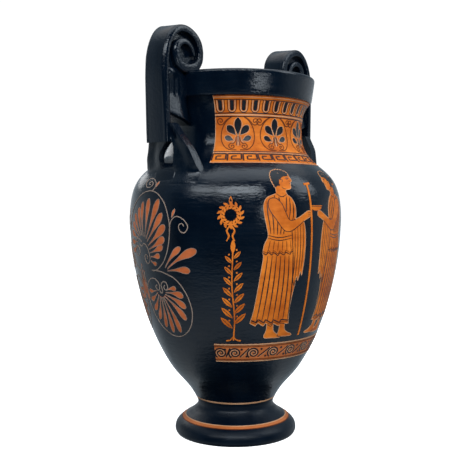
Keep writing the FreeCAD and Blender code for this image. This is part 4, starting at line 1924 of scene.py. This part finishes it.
@dataclass
class Sapling:
    """An upright laurel sapling with berries, and a wreath that hangs over it."""

    painter: Painter
    name: str
    angle: float
    height: float = 66.0
    pairs: int = 7
    lowest_pair: float = 13.0
    highest_pair: float = 6.0
    garland_rise: float = 25.0

    def _pair(self, canvas: Canvas, i: int) -> Drawing:
        """Draws a pair of leaves, each with its rib and a berry.

        Args:
            canvas: the sheet that it is drawn on.
            i: which pair it is, from the lowest.

        Returns:
            The leaves and berries, and the ribs.
        """
        drawing: Drawing = ([], [])
        y = self.lowest_pair + (self.height - self.lowest_pair - self.highest_pair) * i / (self.pairs - 1)
        reach = 8.6 - 0.55 * i
        for side in (-1, 1):
            a = (0.5 * side, y + 1.6 * side)
            b = (reach * side, a[1] + reach * 0.95)
            drawing[0].append(canvas.patch(Motif.leaf(a, b, 3.3 - 0.14 * i, 0.52, 10), Tone.CLAY, 1))
            rib = [(a[0] + (b[0] - a[0]) * t, a[1] + (b[1] - a[1]) * t) for t in (0.1, 0.85)]
            drawing[1].append(canvas.stroke(rib, 0.32))
            drawing[0].append(canvas.patch(Motif.disc((2.6 * side, a[1] + 6.0), 0.62, 10), Tone.CLAY, 1))
        return drawing

    def build(self) -> None:
        """Paints the sapling and the wreath."""
        canvas = Canvas(self.angle, GROUND_LINE, False, True)
        top = self.height
        stem = smooth_curve([(0.0, 2.0), (0.9, top * 0.3), (-0.7, top * 0.65), (0.0, top)], 8)
        strokes = [canvas.stroke(stem, 0.9, Tone.CLAY)]
        patches: list[Patch] = []
        for i in range(self.pairs):
            leaves, ribs = self._pair(canvas, i)
            patches += leaves
            strokes += ribs
        crown = Motif.leaf((0.0, top - 1.0), (0.2, top + 8.6), 3.2, 0.52, 10)
        patches.append(canvas.patch(crown, Tone.CLAY, 1))
        for side in (-1, 1):
            root = smooth_curve([(0.0, 5.0), (2.0 * side, 2.4), (5.0 * side, 1.6)], 5)
            strokes.append(canvas.stroke(root, 0.8, Tone.CLAY))
        self.painter.patches(self.name + "_shapes", patches)
        self.painter.strokes(self.name + "_lines", strokes)
        self.garland()

    def garland(self) -> None:
        """Paints the wreath that hangs above the sapling, with its loop and the ends of its ribbon."""
        canvas = Canvas(self.angle - 1.0, GROUND_LINE, False, True)
        middle = self.height + self.garland_rise
        shapes, strokes = Motif.wreath(canvas, (0.0, middle), 6.6)
        for side in (-1, 1):
            tail = [(0.6 * side, middle - 7.0), (2.6 * side, middle - 10.5), (1.2 * side, middle - 14.0),
                    (2.8 * side, middle - 17.5)]
            strokes.append(canvas.stroke(smooth_curve(tail, 6), 1.3, Tone.CLAY, True))
            loop = [(0.0, middle + 6.6), (1.0 * side, middle + 9.4), (0.0, middle + 12.4)]
            strokes.append(canvas.stroke(smooth_curve(loop, 5), 0.5, Tone.CLAY))
        shapes.append(canvas.patch(Motif.disc((0.0, middle - 6.8), 1.4, 12), Tone.CLAY, 3))
        self.painter.patches(self.name + "_garland", shapes)
        self.painter.strokes(self.name + "_garland_lines", strokes)


@dataclass(frozen=True)
class Ring:
    """A reserved line that runs right round the foot or the stem."""

    shop: Workshop
    name: str
    surface: Outline
    low: float
    high: float
    lift: float
    tone: Tone
    depth: float = 0.22
    steps: int = 5

    def build(self) -> None:
        """Paints the line as a thin raised ring that the glaze doesn't mirror."""
        heights = [self.low + (self.high - self.low) * i / self.steps for i in range(self.steps + 1)]
        outer = [self.surface.off(z, self.lift) for z in heights]
        inner = [self.surface.off(z, -self.depth) for z in heights]
        obj = self.shop.thrown(self.name, outer + inner[::-1] + outer[:1])
        obj.visible_glossy = False
        self.shop.deliver(obj, self.shop.paint[self.tone])


@dataclass(frozen=True)
class Lamp:
    """A soft lamp that faces a height on the axis of the vase.

    Its angle is to the right of the camera, as seen from the vase, and its lengths are in metres. The camera
    may not see it, and the glaze may not mirror it.
    """

    name: str
    angle: float
    distance: float
    height: float
    aim: float
    size: Point
    power: float
    colour: Colour = (0.84, 0.93, 1.0)
    seen: bool = True
    mirrored: bool = True

    def build(self, azimuth: float) -> None:
        """Adds the lamp.

        Args:
            azimuth: the angle of the camera round the vase, in degrees from the front towards -X.
        """
        data = bpy.data.lights.new(self.name, "AREA")
        data.shape = "RECTANGLE"
        data.size, data.size_y = self.size
        data.energy = self.power
        data.color = self.colour
        lamp = add_object(self.name, data)
        a = math.radians(azimuth - self.angle)
        place = Vector((-math.sin(a) * self.distance, -math.cos(a) * self.distance, self.height))
        lamp.location = place
        lamp.rotation_euler = (Vector((0.0, 0.0, self.aim)) - place).to_track_quat("-Z", "Y").to_euler()
        lamp.visible_camera = self.seen
        lamp.visible_glossy = self.mirrored


@dataclass
class Studio:
    """The floor, the lights and the camera."""

    azimuth: float = 47.2
    distance: float = 600.0
    height: float = 178.0
    pitch: float = 2.7
    yaw: float = 0.11
    sensor: float = 36.0
    focal_pixels: float = 780.0
    frame_pixels: float = 474.0
    backdrop: float = 1.05
    floor_size: float = 8.0
    floor_grey: Colour = (0.93, 0.93, 0.93)
    floor_glow: float = 0.88
    dusk: Colour = (0.55, 0.80, 1.0)
    behind: Line = ((-0.55, 0.03), (-0.02, 0.66), (0.6, 1.0))
    upper: Line = ((-0.75, 0.0), (-0.35, 0.5), (0.0, 0.62), (0.25, 0.34), (0.55, 0.34), (0.8, 1.0))
    below: Line = ((-1.0, 0.01), (-0.9, 0.05), (-0.74, 0.58), (-0.62, 0.48), (-0.25, 0.05), (-0.05, 0.0))
    lamps: tuple[Lamp, ...] = (
        Lamp("front_window", 6, 1.3, 1.05, 0.2, (1.16, 0.40), 9.6),
        Lamp("left_window", -36, 1.3, 1.05, 0.2, (0.78, 0.40), 3.9),
        Lamp("high_side", 84, 0.9, 0.82, 0.22, (0.46, 0.66), 2.7),
        Lamp("low_glint", 34, 0.4, 0.21, 0.28, (0.14, 0.04), 0.12, seen=False),
        Lamp("rear_window", -145, 1.2, 0.65, 0.2, (0.55, 0.40), 0.95, (1.0, 1.0, 1.0), seen=False),
        Lamp("overhead", 10, 0.3, 1.4, 0.16, (1.3, 0.9), 4.8),
        Lamp("fill", 12, 2.0, 0.72, 0.16, (2.4, 1.6), 27.5, (1.0, 0.97, 0.93), mirrored=False),
    )

    def camera(self) -> None:
        """Sets the camera at the photographer's place."""
        data = bpy.data.cameras.new("camera")
        data.sensor_fit = "HORIZONTAL"
        data.sensor_width = self.sensor
        data.lens = self.focal_pixels / self.frame_pixels * self.sensor
        data.clip_start = 0.01
        camera = add_object("camera", data)
        a = math.radians(self.azimuth)
        reach = self.distance
        camera.location = Vector((-math.sin(a) * reach, -math.cos(a) * reach, self.height)) * MM
        turn = Matrix.Rotation(-a - math.radians(self.yaw), 4, "Z")
        tilt = Matrix.Rotation(math.pi / 2 - math.radians(self.pitch), 4, "X")
        camera.rotation_euler = (turn @ tilt).to_euler()
        bpy.context.scene.camera = camera

    @staticmethod
    def _glow(nodes: Nodes, place: Socket, direction: Colour, stops: Line) -> Socket:
        """Makes a brightness that follows a direction of the room.

        Args:
            nodes: the world's nodes.
            place: the socket of the direction that is looked at.
            direction: the direction that it follows.
            stops: the brightness for cosines between the two directions, from -1 to 1.

        Returns:
            The socket of the brightness.
        """
        along = nodes.node("ShaderNodeVectorMath", operation="DOT_PRODUCT", Vector=place)
        along.inputs[1].default_value = direction
        span = nodes.node("ShaderNodeMapRange", From_Min=-1.0, Value=along.outputs["Value"])
        ramp = nodes.node("ShaderNodeValToRGB", Fac=span.outputs[0])
        ramp.color_ramp.interpolation = "EASE"
        for _ in stops[2:]:
            ramp.color_ramp.elements.new(0.5)
        for stop, (cosine, level) in zip(ramp.color_ramp.elements, stops):
            stop.position = (cosine + 1.0) / 2.0
            stop.color = (level, level, level, 1.0)
        return ramp.outputs["Color"]

    def world(self) -> None:
        """White behind the vase, and dim where the glaze would mirror the dark side of the room."""
        world = bpy.data.worlds.new("studio")
        bpy.context.scene.world = world
        world.use_nodes = True
        nodes = Nodes(world.node_tree)
        place = nodes.node("ShaderNodeTexCoord").outputs["Generated"]
        a = math.radians(self.azimuth)
        behind = self._glow(nodes, place, (math.sin(a), math.cos(a), 0.0), self.behind)
        upper = self._glow(nodes, place, (0.0, 0.0, 1.0), self.upper)
        below = self._glow(nodes, place, (0.0, 0.0, 1.0), self.below)
        level = nodes.maths("MAXIMUM", nodes.maths("MULTIPLY", behind, upper), below)
        seen = nodes.node("ShaderNodeLightPath").outputs["Is Camera Ray"]
        choose = nodes.node("ShaderNodeMix", data_type="FLOAT", Factor=seen, A=level, B=self.backdrop)
        strength = choose.outputs["Result"]
        white = (1.0, 1.0, 1.0, 1.0)
        tint = nodes.node("ShaderNodeMix", data_type="RGBA", Factor=strength, A=(*self.dusk, 1.0), B=white)
        nodes.fill(nodes.tree.nodes["Background"], {"Strength": strength, "Color": tint.outputs["Result"]})

    def floor(self) -> None:
        """Lays a plain pale floor."""
        bpy.ops.mesh.primitive_plane_add(size=self.floor_size, location=(0.0, 0.0, 0.0))
        floor = bpy.context.object
        floor.name = "floor"
        finish = Finish("floor_white")
        finish.shade(Base_Color=(*self.floor_grey, 1.0), Roughness=0.9, Emission_Color=(1.0, 1.0, 1.0, 1.0),
                     Emission_Strength=self.floor_glow)
        floor.visible_glossy = False
        floor.visible_diffuse = False
        finish.dress(floor)

    def build(self) -> None:
        """Sets up the whole studio."""
        self.camera()
        for lamp in self.lamps:
            lamp.build(self.azimuth)
        self.world()
        self.floor()
        bpy.context.scene.view_settings.view_transform = "Standard"


def main() -> None:
    """Builds the vase, its painting and the studio, in order."""
    logging.basicConfig(level=logging.INFO, format="%(message)s")
    shop = Workshop()
    painter = Painter(shop)
    Vessel(shop).build()
    for side, lean in ((Side.LEFT, -2.4), (Side.RIGHT, 0.0)):
        Handle(shop, side, lean).build()
    for painted in (
        NeckPanel(painter, "front_neck", 0.0),
        NeckPanel(painter, "rear_neck", 180.0, half_width=46.5, tongues=10, palmettes=3, pitch=29.5,
                  shift=0.0, keys=9),
        SpiralBand(painter, "front_band", 0.0),
        SpiralBand(painter, "rear_band", 180.0, half_width=45.0,
                   places=(-38.5, -23.0, -7.7, 7.7, 23.0, 38.5)),
        SidePalmettes(painter, Side.LEFT),
        SidePalmettes(painter, Side.RIGHT),
        DrapedFigure(painter, "staff_bearer", -24.5),
        DrapedFigure(painter, "bowl_bearer", 16.0, True, Hair.KNOT, Gift.BOWL),
        DrapedFigure(painter, "rear_wreath_bearer", 158.0, False, Hair.KNOT, Gift.WREATH),
        DrapedFigure(painter, "rear_staff_bearer", 201.0, True),
        Sapling(painter, "left_sapling", -48.5),
        Sapling(painter, "right_sapling", 47.0),
    ):
        painted.build()
    for ring in (
        Ring(shop, "foot_line", FOOT_SIDE, 11.8, 13.3, 0.12, Tone.SIENNA),
        Ring(shop, "foot_line_low_edge", FOOT_SIDE, 11.5, 11.9, 0.16, Tone.BROWN),
        Ring(shop, "foot_line_high_edge", FOOT_SIDE, 13.2, 13.6, 0.16, Tone.TAN),
        Ring(shop, "stem_line", WALL, 27.3, 28.5, 0.12, Tone.TAN),
    ):
        ring.build()
    Studio().build()


if __name__ == "__main__":
    main()
